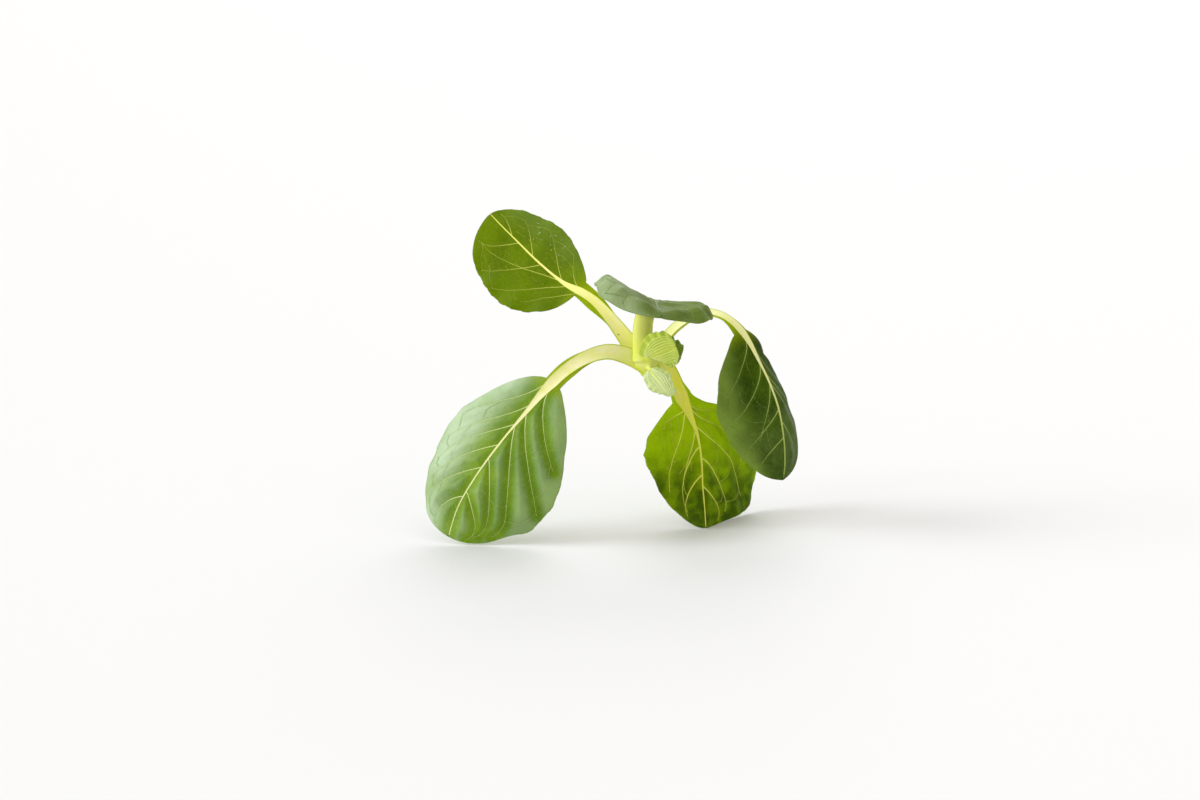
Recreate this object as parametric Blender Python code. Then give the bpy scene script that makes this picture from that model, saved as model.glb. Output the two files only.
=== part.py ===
# A young tatsoi rosette, picked and set down so that it stands on the tips of two drooping leaves.
# Sizes are in millimetres until a mesh is made. X runs to the right, Y away from the viewer, Z up.
# The crown's axis is at X 0, Y 0 and the surface that the leaf tips stand on is at Z 0. At the end the
# whole plant is shifted, so that the origin is under the middle of its bounding box.
import math

import bpy
import numpy as np
from mathutils import Vector

MM = 0.001

# Driving dimensions, in millimetres
CROWN_RADIUS = 3.3
CROWN_CUT_RADIUS = 2.5
CROWN_BOTTOM_Z = 40.4
CROWN_TOP_Z = 47.4
CROWN_SIDES = 18
JOINT_GAP = 0.3
BLADE_THICKNESS = 0.75
MARGIN_THICKNESS = 0.62
PETIOLE_DEPTH_SHARE = 0.68
RIB_END_HALF_WIDTH = 0.32
RIB_END_DEPTH = 0.55
RIB_TOP = 0.32
CHANNEL_DEPTH = 0.3
RIB_END_SHARE = 0.6
WING_WIDTH = 0.75
STANDING_TIP_HEIGHT = 5.0
GROUND_BLOCK = (80.0, 60.0, 12.0)

# Shares of the blade's length, for the panels between its side veins, and of its width, for its crimps
VEIN_SPACING = 0.19
VEIN_SWEEP = 0.16
VEIN_CURVE = 0.10
EDGE_CRIMPS = 9
EDGE_CRIMP_SHARE = 0.012

# Mesh densities
SPINE_SAMPLES = 400
WING_ROWS = 5
BLADE_ROWS = 24
BLADE_COLUMNS = 8
HEART_ROWS = 9
HEART_COLUMNS = 5
PETIOLE_RINGS = 16
RIB_RINGS = 9

# Each leaf: its spine from crown to tip, the way its upper face looks at those points, and its form.
# neck is where the blade begins and wing where its green wings begin, as shares of the spine's length.
# Pairs are for the two sides of the midrib: first the side that tangent cross facing points to.
# fold and curl are degrees, and degrees a millimetre, towards the upper face at blade base, middle, tip.
LEAVES = {
    "upper_left": {
        "spine": [(-2.4, 2.2, 44.8), (-4.4, 4.8, 48.3), (-10.0, 9.0, 54.9), (-15.8, 13.0, 60.1),
                  (-21.3, 17.0, 63.2), (-27.2, 21.0, 66.7), (-33.5, 25.0, 70.5), (-41.6, 29.0, 75.0)],
        "facing": [(0.3, -0.8, 0.4), (0.3, -0.8, 0.4), (0.2, -0.9, 0.4), (0.1, -1.0, 0.3),
                   (0.0, -1.0, 0.25), (0.0, -1.0, 0.2), (0.0, -1.0, 0.2), (0.0, -1.0, 0.2)],
        "neck": 0.42, "wing": 0.16, "widest": (0.48, 0.5), "half_width": (9.2, 14.2),
        "base_half_width": 2.8, "neck_half_width": 1.6,
        "fold": ((0, 2, 4), (0, 4, 4)), "curl": ((-0.2, -0.4, -0.6), (-0.2, -0.5, -0.8)),
        "shoulder": (0.8, 0.6), "taper": 0.5,
        "bulge": 0.25, "wave": 0.5, "waves": 4.0, "seed": 1,
    },
    "lower_left": {
        "spine": [(1.0, -0.4, 43.0), (-4.0, -0.4, 45.5), (-9.5, -0.4, 46.8), (-15.0, -1.0, 45.4),
                  (-20.0, -2.0, 42.3), (-24.4, -3.5, 38.0), (-29.4, -6.0, 32.2), (-35.0, -8.5, 25.4),
                  (-40.8, -10.0, 17.0), (-45.2, -10.8, 8.3), (-47.4, -11.2, 0.4)],
        "facing": [(-0.1, -0.85, 0.5), (-0.1, -0.85, 0.5), (-0.1, -0.85, 0.5), (-0.15, -0.85, 0.5),
                   (-0.2, -0.85, 0.45), (-0.25, -0.85, 0.4), (-0.3, -0.85, 0.4), (-0.3, -0.85, 0.35),
                   (-0.3, -0.9, 0.3), (-0.3, -0.95, 0.25), (-0.3, -1.0, 0.2)],
        "neck": 0.37, "wing": 0.17, "widest": (0.5, 0.6), "half_width": (16.0, 18.4),
        "base_half_width": 2.6, "neck_half_width": 1.8,
        "fold": ((-4, -4, -4), (-4, -6, -6)), "curl": ((-1.0, -1.2, -1.2), (-1.0, -1.2, -1.2)),
        "shoulder": (0.8, 0.8), "taper": 0.5,
        "bulge": 0.55, "wave": 0.3, "waves": 5.0, "seed": 2,
    },
    "top": {
        "spine": [(-0.3, -1.3, 44.8), (-0.4, -1.1, 48.0), (-0.4, 0.0, 51.6), (-0.1, 1.2, 54.8),
                  (0.7, 1.6, 57.8), (1.8, -0.6, 59.9), (2.3, -4.6, 60.6), (2.5, -12.0, 60.2),
                  (2.1, -19.0, 59.4), (1.7, -26.0, 58.2)],
        "facing": [(0.0, 1.0, 0.2), (0.0, 1.0, 0.1), (0.0, 1.0, 0.3), (0.1, 0.95, 0.4),
                   (0.15, 0.8, 0.6), (0.2, 0.4, 1.0), (0.2, 0.1, 1.0), (0.2, 0.0, 1.0),
                   (0.2, 0.0, 1.0), (0.2, 0.0, 1.0)],
        "neck": 0.36, "wing": 0.22, "widest": (0.5, 0.5), "half_width": (15.2, 14.5),
        "base_half_width": 2.8, "neck_half_width": 1.7,
        "fold": ((4, 12, 12), (4, 12, 12)), "curl": ((0.0, 0.0, 0.0), (0.0, 0.0, 0.0)),
        "shoulder": (0.8, 0.8), "taper": 0.5,
        "bulge": 0.4, "wave": 0.5, "waves": 4.0, "seed": 3,
    },
    "right": {
        "spine": [(1.6, 2.2, 46.2), (4.5, 5.6, 48.7), (7.9, 8.0, 51.8), (12.4, 8.0, 54.6),
                  (17.0, 6.5, 55.4), (21.2, 4.2, 53.6), (24.9, 1.8, 49.2), (27.6, 0.0, 44.9),
                  (30.6, -1.5, 39.4), (33.1, -2.0, 32.9), (34.4, -2.0, 26.0), (34.8, -1.5, 19.5),
                  (34.4, -0.5, 14.0)],
        "facing": [(-0.4, -0.2, 0.9), (-0.4, -0.3, 0.8), (-0.2, -0.4, 0.8), (0.1, -0.5, 0.8),
                   (0.3, -0.5, 0.7), (0.4, -0.6, 0.6), (0.4, -0.7, 0.5), (0.4, -0.8, 0.35),
                   (0.4, -0.85, 0.3), (0.4, -0.85, 0.2), (0.4, -0.85, 0.1), (0.4, -0.85, 0.0),
                   (0.4, -0.85, -0.1)],
        "neck": 0.42, "wing": 0.28, "widest": (0.48, 0.48), "half_width": (14.5, 14.0),
        "base_half_width": 2.0, "neck_half_width": 1.4,
        "fold": ((-16, -22, -16), (-36, -46, -28)), "curl": ((-0.3, -0.6, -1.0), (-0.5, -0.8, -1.0)),
        "shoulder": (0.8, 0.8), "taper": 0.5,
        "bulge": 0.45, "wave": 0.3, "waves": 4.0, "seed": 4,
    },
    "lower_right": {
        "spine": [(2.7, 1.0, 43.4), (5.5, 3.2, 41.8), (8.2, 6.0, 35.6), (11.0, 8.5, 29.1),
                  (13.2, 10.0, 22.8), (14.2, 10.0, 16.2), (14.5, 8.8, 10.4), (15.0, 6.6, 5.2),
                  (15.4, 4.4, 0.2)],
        "facing": [(0.6, -0.5, 0.5), (0.5, -0.7, 0.4), (0.35, -0.85, 0.3), (0.2, -0.95, 0.2),
                   (0.1, -1.0, 0.1), (0.1, -1.0, 0.0), (0.1, -1.0, -0.1), (0.0, -1.0, -0.2),
                   (0.0, -1.0, -0.2)],
        "neck": 0.27, "wing": 0.12, "widest": (0.32, 0.62), "half_width": (14.0, 22.0),
        "base_half_width": 2.3, "neck_half_width": 2.1,
        "fold": ((4, 4, -10), (-15, -32, -62)), "curl": ((0.4, 0.4, 0.0), (-0.4, -0.4, -0.4)),
        "shoulder": (0.6, 1.8), "taper": 0.66,
        "bulge": 0.45, "wave": 0.5, "waves": 4.0, "seed": 5,
    },
}

# The young leaves of the heart, each one sheet from the crown with no separate rib.
HEART_LEAVES = {
    "heart_leaf_upper": {
        "spine": [(0.8, -2.6, 46.2), (1.6, -5.0, 46.9), (3.2, -6.7, 47.6), (5.4, -7.6, 48.1),
                  (7.8, -8.2, 48.4)],
        "facing": [(-0.1, 0.95, 0.3), (-0.1, 0.95, 0.3), (0.0, 0.95, 0.3), (0.1, 0.95, 0.25),
                   (0.2, 1.0, 0.2)],
        "neck": 0.12, "widest": (0.62, 0.62), "half_width": (5.4, 5.4),
        "fold": ((6, 6, 6), (6, 6, 6)), "curl": ((3.0, 3.0, 3.0), (3.0, 3.0, 3.0)),
        "shoulder": (0.8, 0.8), "taper": 0.5,
        "bulge": 0.0, "wave": 0.35, "waves": 6.0, "seed": 6,
    },
    "heart_leaf_lower": {
        "spine": [(0.8, -2.6, 43.4), (1.4, -5.0, 42.4), (3.1, -7.0, 40.8), (4.8, -8.0, 38.7),
                  (6.0, -7.5, 37.1)],
        "facing": [(0.3, 0.6, -0.6), (0.3, 0.7, -0.5), (0.4, 0.8, -0.3), (0.5, 0.8, 0.0), (0.6, 0.8, 0.2)],
        "neck": 0.12, "widest": (0.5, 0.5), "half_width": (2.6, 3.2),
        "fold": ((10, 10, 10), (10, 10, 10)), "curl": ((6.0, 8.0, 8.0), (6.0, 8.0, 8.0)),
        "shoulder": (0.8, 0.8), "taper": 0.5,
        "bulge": 0.0, "wave": 0.3, "waves": 5.0, "seed": 7,
    },
    "heart_leaf_back": {
        "spine": [(2.4, -1.2, 46.6), (3.6, -2.6, 47.3), (5.2, -3.7, 47.6), (6.9, -4.4, 47.3),
                  (8.6, -4.8, 46.6)],
        "facing": [(-0.2, 0.9, 0.4), (-0.2, 0.9, 0.4), (0.0, 0.9, 0.3), (0.2, 0.9, 0.3), (0.4, 0.9, 0.2)],
        "neck": 0.12, "widest": (0.6, 0.6), "half_width": (3.4, 4.6),
        "fold": ((8, 8, 8), (8, 8, 8)), "curl": ((2.0, 2.0, 2.0), (2.0, 2.0, 2.0)),
        "shoulder": (0.8, 0.8), "taper": 0.5,
        "bulge": 0.0, "wave": 0.4, "waves": 6.0, "seed": 8,
    },
}

COLOURS = {
    "crown": (0.66, 0.68, 0.20, 1.0),
    "petiole": (0.72, 0.76, 0.34, 1.0),
    "blade": (0.11, 0.24, 0.05, 1.0),
    "heart": (0.42, 0.60, 0.14, 1.0),
}
ROUGHNESS = {"crown": 0.45, "petiole": 0.4, "blade": 0.42, "heart": 0.45}


def smooth_curve(points, count):
    """Samples a Catmull-Rom curve through the points."""
    p = np.asarray(points, float)
    p = np.vstack([2 * p[0] - p[1], p, 2 * p[-1] - p[-2]])
    t = np.linspace(0, len(p) - 3, count)
    i = np.minimum(t.astype(int), len(p) - 4)
    f = (t - i)[:, None]
    a, b, c, d = p[i], p[i + 1], p[i + 2], p[i + 3]
    return 0.5 * (2 * b + (c - a) * f + (2 * a - 5 * b + 4 * c - d) * f**2 + (3 * b - a - 3 * c + d) * f**3)


def unit(v):
    return v / np.linalg.norm(v, axis=-1, keepdims=True)


class Spine:
    """A leaf's midline, read by distance from the crown, with its tangent, side and facing directions."""

    def __init__(self, leaf):
        self.points = smooth_curve(leaf["spine"], SPINE_SAMPLES)
        steps = np.linalg.norm(np.diff(self.points, axis=0), axis=1)
        self.along = np.concatenate([[0], np.cumsum(steps)])
        self.length = self.along[-1]
        self.tangent = unit(np.gradient(self.points, self.along, axis=0))
        facing = smooth_curve(leaf["facing"], SPINE_SAMPLES)
        facing -= (facing * self.tangent).sum(1, keepdims=True) * self.tangent
        self.facing = unit(facing)
        self.side = np.cross(self.tangent, self.facing)

    def read(self, s):
        """Point, tangent, side and facing at distances s."""
        fields = (self.points, self.tangent, self.side, self.facing)
        return [np.stack([np.interp(s, self.along, f[:, k]) for k in range(3)], -1) for f in fields]


def three_point(values, u):
    """A smooth run through values at the base, middle and tip."""
    base, middle, tip = values
    u = np.clip(u, 0, 1)
    return base * (1 - u) * (1 - 2 * u) + 4 * middle * u * (1 - u) + tip * u * (2 * u - 1)


def blade_share(leaf, spine, s):
    """0 where the blade begins, 1 at its tip."""
    neck = leaf["neck"] * spine.length
    return (s - neck) / (spine.length - neck)


def outline_half_width(leaf, spine, s, side):
    """How far the blade's edge is from the midrib's side, on one side of the leaf."""
    u = blade_share(leaf, spine, s)
    widest, full = leaf["widest"][side], leaf["half_width"][side]
    rising = np.sin(0.5 * math.pi * np.clip(u / widest, 0, 1)) ** leaf["shoulder"][side]
    falling = np.clip(1 - (np.clip(u - widest, 0, 1) / (1 - widest)) ** 2.3, 0, 1) ** leaf["taper"]
    turn = 2 * math.pi * (EDGE_CRIMPS * u + 0.37 * leaf["seed"] + 0.5 * side)
    crimp = 1 + EDGE_CRIMP_SHARE * np.sin(turn)
    return WING_WIDTH + (full - WING_WIDTH) * np.where(u < widest, rising, falling) * crimp


def rib_half_width(leaf, spine, s):
    """Half the width of the pale petiole, and of the midrib it narrows to inside the blade."""
    u = blade_share(leaf, spine, s)
    neck = leaf["neck_half_width"]
    down_petiole = np.clip(1 + u * (1 - leaf["neck"]) / leaf["neck"], 0, 1)
    petiole = neck + (leaf["base_half_width"] - neck) * (1 - down_petiole) ** 1.6
    midrib = neck * (1 - np.clip(u, 0, 1)) ** 3.2
    return np.maximum(np.where(u < 0, petiole, midrib), RIB_END_HALF_WIDTH)


def rib_depth(leaf, spine, s):
    """How far the rib stands out of the leaf's lower face."""
    share = np.clip(s / (spine.length * leaf["neck"]), 0, 1)
    u = np.clip(blade_share(leaf, spine, s) / RIB_END_SHARE, 0, 1)
    base_depth = PETIOLE_DEPTH_SHARE * leaf["base_half_width"]
    neck_depth = 0.62 * base_depth
    return np.where(u <= 0, base_depth + (neck_depth - base_depth) * share,
                    neck_depth + (RIB_END_DEPTH - neck_depth) * u**0.6)


def cushion(leaf, spine, s, d, side):
    """Height of the swollen panels between the side veins, which run forward from the midrib."""
    u = blade_share(leaf, spine, s)
    width = np.maximum(outline_half_width(leaf, spine, s, side), 1)
    across = np.clip(d / width, 0, 1)
    phase = (u - VEIN_SWEEP * across - VEIN_CURVE * across**2) / VEIN_SPACING + 0.31 * leaf["seed"] + 0.5 * side
    swell = np.sin(math.pi * phase) ** 2
    ends = np.sin(math.pi * across) * np.clip(4 * u, 0, 1) * np.clip(4 * (1 - u), 0, 1)
    return leaf["bulge"] * (swell - 0.5) * ends


def bend(leaf, spine, s, side, form):
    """The fold or the curl of one side, in radians, growing from nothing where the blade begins."""
    u = blade_share(leaf, spine, s)
    return np.radians(three_point(leaf[form][side], u)) * np.clip(u * 6, 0, 1)


def blade_points(leaf, spine, s, d, side, inner):
    """Points on the blade's middle surface. d is the distance out from the rib's edge, inner its offset."""
    point, _, across, facing = spine.read(s)
    u = blade_share(leaf, spine, s)
    fold = bend(leaf, spine, s, side, "fold")
    curl = bend(leaf, spine, s, side, "curl")
    curl = np.where(np.abs(curl) < 1e-5, 1e-5, curl)
    out = (np.sin(fold + curl * d) - np.sin(fold)) / curl
    rise = (np.cos(fold) - np.cos(fold + curl * d)) / curl
    width = np.maximum(outline_half_width(leaf, spine, s, side), 1)
    edge = np.clip(d / width, 0, 1)
    turn = 2 * math.pi * (leaf["waves"] * u + 0.23 * leaf["seed"] + 0.4 * side)
    near_ends = np.clip(u * 6, 0, 1) * np.clip((width / leaf["half_width"][side] - 0.2) * 2, 0, 1)
    ripple = leaf["wave"] * edge**3 * np.sin(turn)
    rise = rise + (ripple + cushion(leaf, spine, s, d, side)) * near_ends
    sign = 1 - 2 * side
    return point + sign * (inner + out)[..., None] * across + rise[..., None] * facing


def closed_sheet(points, triangles, thickness):
    """Gives a middle surface its thickness: both faces, split alike, and a wall round every edge."""
    a, b, c = (points[triangles[:, k]] for k in range(3))
    face_normal = np.cross(b - a, c - a)
    normal = np.zeros_like(points)
    for k in range(3):
        np.add.at(normal, triangles[:, k], face_normal)
    normal = unit(normal)
    half = 0.5 * thickness[:, None] * normal
    count = len(points)
    ends = np.concatenate([triangles[:, [0, 1]], triangles[:, [1, 2]], triangles[:, [2, 0]]])
    taken = {tuple(e) for e in ends}
    rim = np.array([e for e in taken if (e[1], e[0]) not in taken])
    rim = rim[np.lexsort((rim[:, 1], rim[:, 0]))]
    walls = np.concatenate([
        np.stack([rim[:, 1], rim[:, 0], rim[:, 0] + count], 1),
        np.stack([rim[:, 1], rim[:, 0] + count, rim[:, 1] + count], 1),
    ])
    faces = np.concatenate([triangles, triangles[:, ::-1] + count, walls])
    return np.vstack([points + half, points - half]), faces


def grid_triangles(index):
    """Two triangles for each cell of a grid of vertex numbers, with repeated vertices dropped."""
    a, b, c, d = index[:-1, :-1], index[1:, :-1], index[1:, 1:], index[:-1, 1:]
    tri = np.concatenate([np.stack([a, b, c], -1).reshape(-1, 3), np.stack([a, c, d], -1).reshape(-1, 3)])
    same = (tri[:, 0] == tri[:, 1]) | (tri[:, 1] == tri[:, 2]) | (tri[:, 0] == tri[:, 2])
    return tri[~same]


def rib_end(leaf, spine):
    """Distance along the spine of the last row of the blade's slot."""
    return spine.length * (leaf["neck"] + (1 - leaf["neck"]) * RIB_END_SHARE)


def blade_rows(leaf, spine):
    """Distances along the spine of the blade's rows: along the wings, then close together at its ends."""
    neck = leaf["neck"] * spine.length
    tip = spine.length
    ribbed = "wing" in leaf
    rows = np.linspace(neck, tip, HEART_ROWS)
    if ribbed:
        rows = neck + (tip - neck) * (0.5 - 0.5 * np.cos(np.linspace(0, math.pi, BLADE_ROWS)))
        rows[np.argmin(np.abs(rows - rib_end(leaf, spine)))] = rib_end(leaf, spine)
        wing = np.linspace(leaf["wing"] * tip, neck, WING_ROWS, endpoint=False)
        rows = np.concatenate([wing, rows])
    return rows


def blade_mesh(leaf):
    """The green blade: two sides that leave a slot for the rib, joined past the rib's end."""
    spine = Spine(leaf)
    s = blade_rows(leaf, spine)
    ribbed = "wing" in leaf
    columns = BLADE_COLUMNS if ribbed else HEART_COLUMNS
    open_row = (s < rib_end(leaf, spine) + 1e-6) & ribbed
    slot = np.zeros(len(s))
    if ribbed:
        slot[open_row] = rib_half_width(leaf, spine, s[open_row]) + JOINT_GAP
    share = np.linspace(0, 1, columns)
    rows = np.repeat(s[:, None], columns, 1)
    points, sheets = [], []
    for side in (0, 1):
        reach = outline_half_width(leaf, spine, s, side)
        reach[-1] = 0
        lean = 0.5 * BLADE_THICKNESS * np.abs(np.sin(bend(leaf, spine, s, side, "fold")))
        inner = np.repeat((slot + lean * open_row)[:, None], columns, 1)
        grid = blade_points(leaf, spine, rows, reach[:, None] * share, side, inner)
        index = side * rows.size + np.arange(rows.size).reshape(rows.shape)
        index[-1] = rows.size - 1
        if side:
            index[~open_row, 0] = index[~open_row, 0] - rows.size
            index[-1] = rows.size - 1
        points.append(grid.reshape(-1, 3))
        sheets.append(grid_triangles(index if side else index[:, ::-1]))
    points, triangles = np.vstack(points), np.concatenate(sheets)
    edge_share = np.tile(share, len(s) * 2)
    thickness = BLADE_THICKNESS + (MARGIN_THICKNESS - BLADE_THICKNESS) * edge_share
    used, triangles = np.unique(triangles, return_inverse=True)
    triangles = triangles.reshape(-1, 3)
    return closed_sheet(points[used], triangles, thickness[used])


def petiole_mesh(leaf):
    """The pale stalk and the midrib it becomes: a shallow channel above and a round back below."""
    spine = Spine(leaf)
    neck = leaf["neck"] * spine.length
    end = rib_end(leaf, spine) - JOINT_GAP
    s = np.concatenate([np.linspace(0, neck, PETIOLE_RINGS, endpoint=False), np.linspace(neck, end, RIB_RINGS)])
    half, depth = rib_half_width(leaf, spine, s), rib_depth(leaf, spine, s)
    channel = CHANNEL_DEPTH * np.clip(half / leaf["base_half_width"], 0.2, 1)
    top_share = np.array([-1.0, -0.55, 0.0, 0.55])
    back_turn = np.radians([0, 28, 58, 90, 122, 152])
    top_side = half[:, None] * top_share
    top_rise = RIB_TOP - channel[:, None] * (1 - top_share**2)
    back_side = half[:, None] * np.cos(back_turn)
    back_rise = RIB_TOP - (depth + RIB_TOP)[:, None] * np.sin(back_turn)
    sideways = np.concatenate([top_side, back_side], 1)
    rise = np.concatenate([top_rise, back_rise], 1)
    point, _, across, facing = (v[:, None, :] for v in spine.read(s))
    rings = point + sideways[..., None] * across + rise[..., None] * facing
    rows, around = sideways.shape
    index = np.arange(rows * around).reshape(rows, around)
    faces = grid_triangles(np.hstack([index, index[:, :1]]))
    deepest = len(top_share) + 3
    index = np.roll(index, -deepest, 1)
    near = [(index[0, 0], index[0, k], index[0, k + 1]) for k in range(1, around - 1)]
    far = [(index[-1, 0], index[-1, k + 1], index[-1, k]) for k in range(1, around - 1)]
    return rings.reshape(-1, 3), np.concatenate([faces, near, far])


def crown_mesh(grow=0.0):
    """The short stem: a flat cut below, widest at the leaf bases, and a domed growing tip."""
    height = CROWN_TOP_Z - CROWN_BOTTOM_Z
    shares = np.array([0.0, 0.06, 0.25, 0.5, 0.7, 0.84, 0.94, 1.0])
    swell = np.sin(math.pi * np.clip(shares / 0.9, 0, 1)) * (CROWN_RADIUS - CROWN_CUT_RADIUS)
    radii = (CROWN_CUT_RADIUS + swell) * np.sqrt(np.clip(1 - np.clip((shares - 0.5) / 0.5, 0, 1) ** 2.6, 0.02, 1))
    z = CROWN_BOTTOM_Z - grow + (height + 2 * grow) * shares
    turn = np.linspace(0, 2 * math.pi, CROWN_SIDES, endpoint=False)
    flute = 1 + 0.05 * np.cos(5 * turn)
    r = (radii[:, None] + grow) * flute
    rings = np.stack([r * np.cos(turn), r * np.sin(turn), np.repeat(z[:, None], CROWN_SIDES, 1)], -1)
    index = np.arange(rings[..., 0].size).reshape(len(z), CROWN_SIDES)
    faces = grid_triangles(np.hstack([index, index[:, :1]]))[:, ::-1]
    low = [(index[0, 0], index[0, k + 1], index[0, k]) for k in range(1, CROWN_SIDES - 1)]
    high = [(index[-1, 0], index[-1, k], index[-1, k + 1]) for k in range(1, CROWN_SIDES - 1)]
    return rings.reshape(-1, 3), np.concatenate([faces, low, high])


def material(name):
    found = bpy.data.materials.get(name)
    if found:
        return found
    made = bpy.data.materials.new(name)
    made.use_nodes = True
    surface = made.node_tree.nodes["Principled BSDF"]
    surface.inputs["Base Color"].default_value = COLOURS[name]
    surface.inputs["Roughness"].default_value = ROUGHNESS[name]
    surface.inputs["Metallic"].default_value = 0.0
    return made


def outward(points, faces):
    """The same faces, turned round if they enclose a negative volume."""
    a, b, c = (points[faces[:, k]] for k in range(3))
    volume = (a * np.cross(b, c)).sum()
    return faces if volume > 0 else faces[:, ::-1]


def solid(name, points, faces, finish, parent):
    mesh = bpy.data.meshes.new(name)
    faces = outward(points, faces)
    mesh.from_pydata((points * MM).tolist(), [], faces.tolist())
    mesh.validate()
    obj = bpy.data.objects.new(name, mesh)
    bpy.context.scene.collection.objects.link(obj)
    if finish:
        mesh.materials.append(material(finish))
        mesh.shade_smooth()
        mesh.set_sharp_from_angle(angle=math.radians(50))
    obj.parent = parent
    return obj


def cutter(name, points, faces, parent):
    obj = solid(name, points, faces, None, parent)
    obj.hide_render = True
    obj.display_type = "WIRE"
    return obj


def cut(obj, tool):
    modifier = obj.modifiers.new("cut by " + tool.name, "BOOLEAN")
    modifier.operation = "DIFFERENCE"
    modifier.solver = "EXACT"
    modifier.object = tool


def ground_block():
    """Everything below the surface that the tips stand on, which presses small flats into them."""
    x, y, depth = GROUND_BLOCK
    corners = np.array([(i * x, j * y, k) for k in (-depth, 0.0) for j in (-1, 1) for i in (-1, 1)])
    quads = [(0, 2, 3, 1), (4, 5, 7, 6), (0, 1, 5, 4), (2, 6, 7, 3), (0, 4, 6, 2), (1, 3, 7, 5)]
    faces = np.array([t for a, b, c, d in quads for t in ((a, b, c), (a, c, d))])
    return corners, faces


def clear_scene():
    for obj in list(bpy.data.objects):
        bpy.data.objects.remove(obj)


def box_of(objects):
    """Lowest and highest corner of the objects' evaluated meshes, in metres."""
    bpy.context.view_layer.update()
    graph = bpy.context.evaluated_depsgraph_get()
    corners = []
    for obj in objects:
        evaluated = obj.evaluated_get(graph)
        mesh = evaluated.to_mesh()
        corners += [evaluated.matrix_world @ v.co for v in mesh.vertices]
        evaluated.to_mesh_clear()
    corners = np.array([tuple(c) for c in corners])
    return corners.min(0), corners.max(0)


def main():
    clear_scene()
    plant = bpy.data.objects.new("plant", None)
    bpy.context.scene.collection.objects.link(plant)
    crown_room = cutter("crown_room", *crown_mesh(grow=JOINT_GAP), plant)
    ground = cutter("ground", *ground_block(), plant)
    made = [solid("crown", *crown_mesh(), "crown", plant)]
    for name, leaf in LEAVES.items():
        petiole = solid("petiole_" + name, *petiole_mesh(leaf), "petiole", plant)
        cut(petiole, crown_room)
        blade = solid("blade_" + name, *blade_mesh(leaf), "blade", plant)
        if leaf["spine"][-1][2] < STANDING_TIP_HEIGHT:
            cut(blade, ground)
        made += [petiole, blade]
    for name, leaf in HEART_LEAVES.items():
        young = solid(name, *blade_mesh(leaf), "heart", plant)
        cut(young, crown_room)
        made.append(young)
    low, high = box_of(made)
    plant.location = Vector((-(low[0] + high[0]) / 2, -(low[1] + high[1]) / 2, -low[2]))


main()
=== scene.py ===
# A young tatsoi rosette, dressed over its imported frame: fine leaves, stalks, veins, crown and heart.
# Leaf shapes are in millimetres, from the crown's axis and the surface. X runs right, Y away, Z up.
import math

import bpy
import numpy as np
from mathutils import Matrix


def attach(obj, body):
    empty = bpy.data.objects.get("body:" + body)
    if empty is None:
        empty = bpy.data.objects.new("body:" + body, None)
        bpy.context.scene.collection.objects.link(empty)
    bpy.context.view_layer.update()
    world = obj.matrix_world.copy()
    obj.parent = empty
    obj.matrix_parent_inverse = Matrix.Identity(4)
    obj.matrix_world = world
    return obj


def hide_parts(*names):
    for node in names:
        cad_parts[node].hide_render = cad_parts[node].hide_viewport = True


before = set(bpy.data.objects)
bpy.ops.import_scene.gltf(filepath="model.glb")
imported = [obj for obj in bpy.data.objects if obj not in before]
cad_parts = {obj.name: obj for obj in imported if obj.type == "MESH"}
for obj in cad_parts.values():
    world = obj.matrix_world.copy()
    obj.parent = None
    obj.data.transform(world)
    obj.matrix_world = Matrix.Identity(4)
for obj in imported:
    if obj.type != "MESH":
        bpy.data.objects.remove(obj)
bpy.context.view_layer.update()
print("frame loaded")

mm = 0.001
floorEase = 0.7  # below this height the margins press flat on the floor
floorGap = 0.05  # and none comes nearer to the floor than this
plantShift = np.array((8.2586, -1.6583, 0.0))  # from the crown's axis to the middle of the plant's box


# Small helpers for curves and shares

def unit(v):
    return v / np.maximum(np.linalg.norm(v, axis=-1, keepdims=True), 1e-12)


def ease(low, high, x):
    t = np.clip((x - low) / (high - low), 0, 1)
    return t * t * (3 - 2 * t)


def smoothCurve(points, count):
    p = np.asarray(points, float)
    p = np.vstack([2 * p[0] - p[1], p, 2 * p[-1] - p[-2]])
    t = np.linspace(0, len(p) - 3, count)
    i = np.minimum(t.astype(int), len(p) - 4)
    f = (t - i)[:, None]
    a, b, c, d = p[i], p[i + 1], p[i + 2], p[i + 3]
    return 0.5 * (2 * b + (c - a) * f + (2 * a - 5 * b + 4 * c - d) * f**2 + (3 * b - a - 3 * c + d) * f**3)


def threePoint(values, u):
    base, middle, tip = values
    u = np.clip(u, 0, 1)
    return base * (1 - u) * (1 - 2 * u) + 4 * middle * u * (1 - u) + tip * u * (2 * u - 1)


class Midline:
    # A leaf's middle line, read by distance from the crown

    def __init__(self, leaf, count=400):
        self.points = smoothCurve(leaf["spine"], count)
        steps = np.linalg.norm(np.diff(self.points, axis=0), axis=1)
        self.along = np.concatenate([[0], np.cumsum(steps)])
        self.length = self.along[-1]
        self.tangent = unit(np.gradient(self.points, self.along, axis=0))
        facing = smoothCurve(leaf["facing"], count)
        facing -= (facing * self.tangent).sum(1, keepdims=True) * self.tangent
        self.facing = unit(facing)
        self.across = np.cross(self.tangent, self.facing)

    def read(self, s):
        fields = (self.points, self.across, self.facing)
        return [np.stack([np.interp(s, self.along, f[:, k]) for k in range(3)], -1) for f in fields]


# Pairs are for the two sides of the midrib, and threes run from the blade's base to its tip. A side vein
# is: side, where it leaves the midrib, where it ends, how far out it ends, and how it bows, in shares of
# the blade. A fan vein ends at the share given of the way out.

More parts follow.
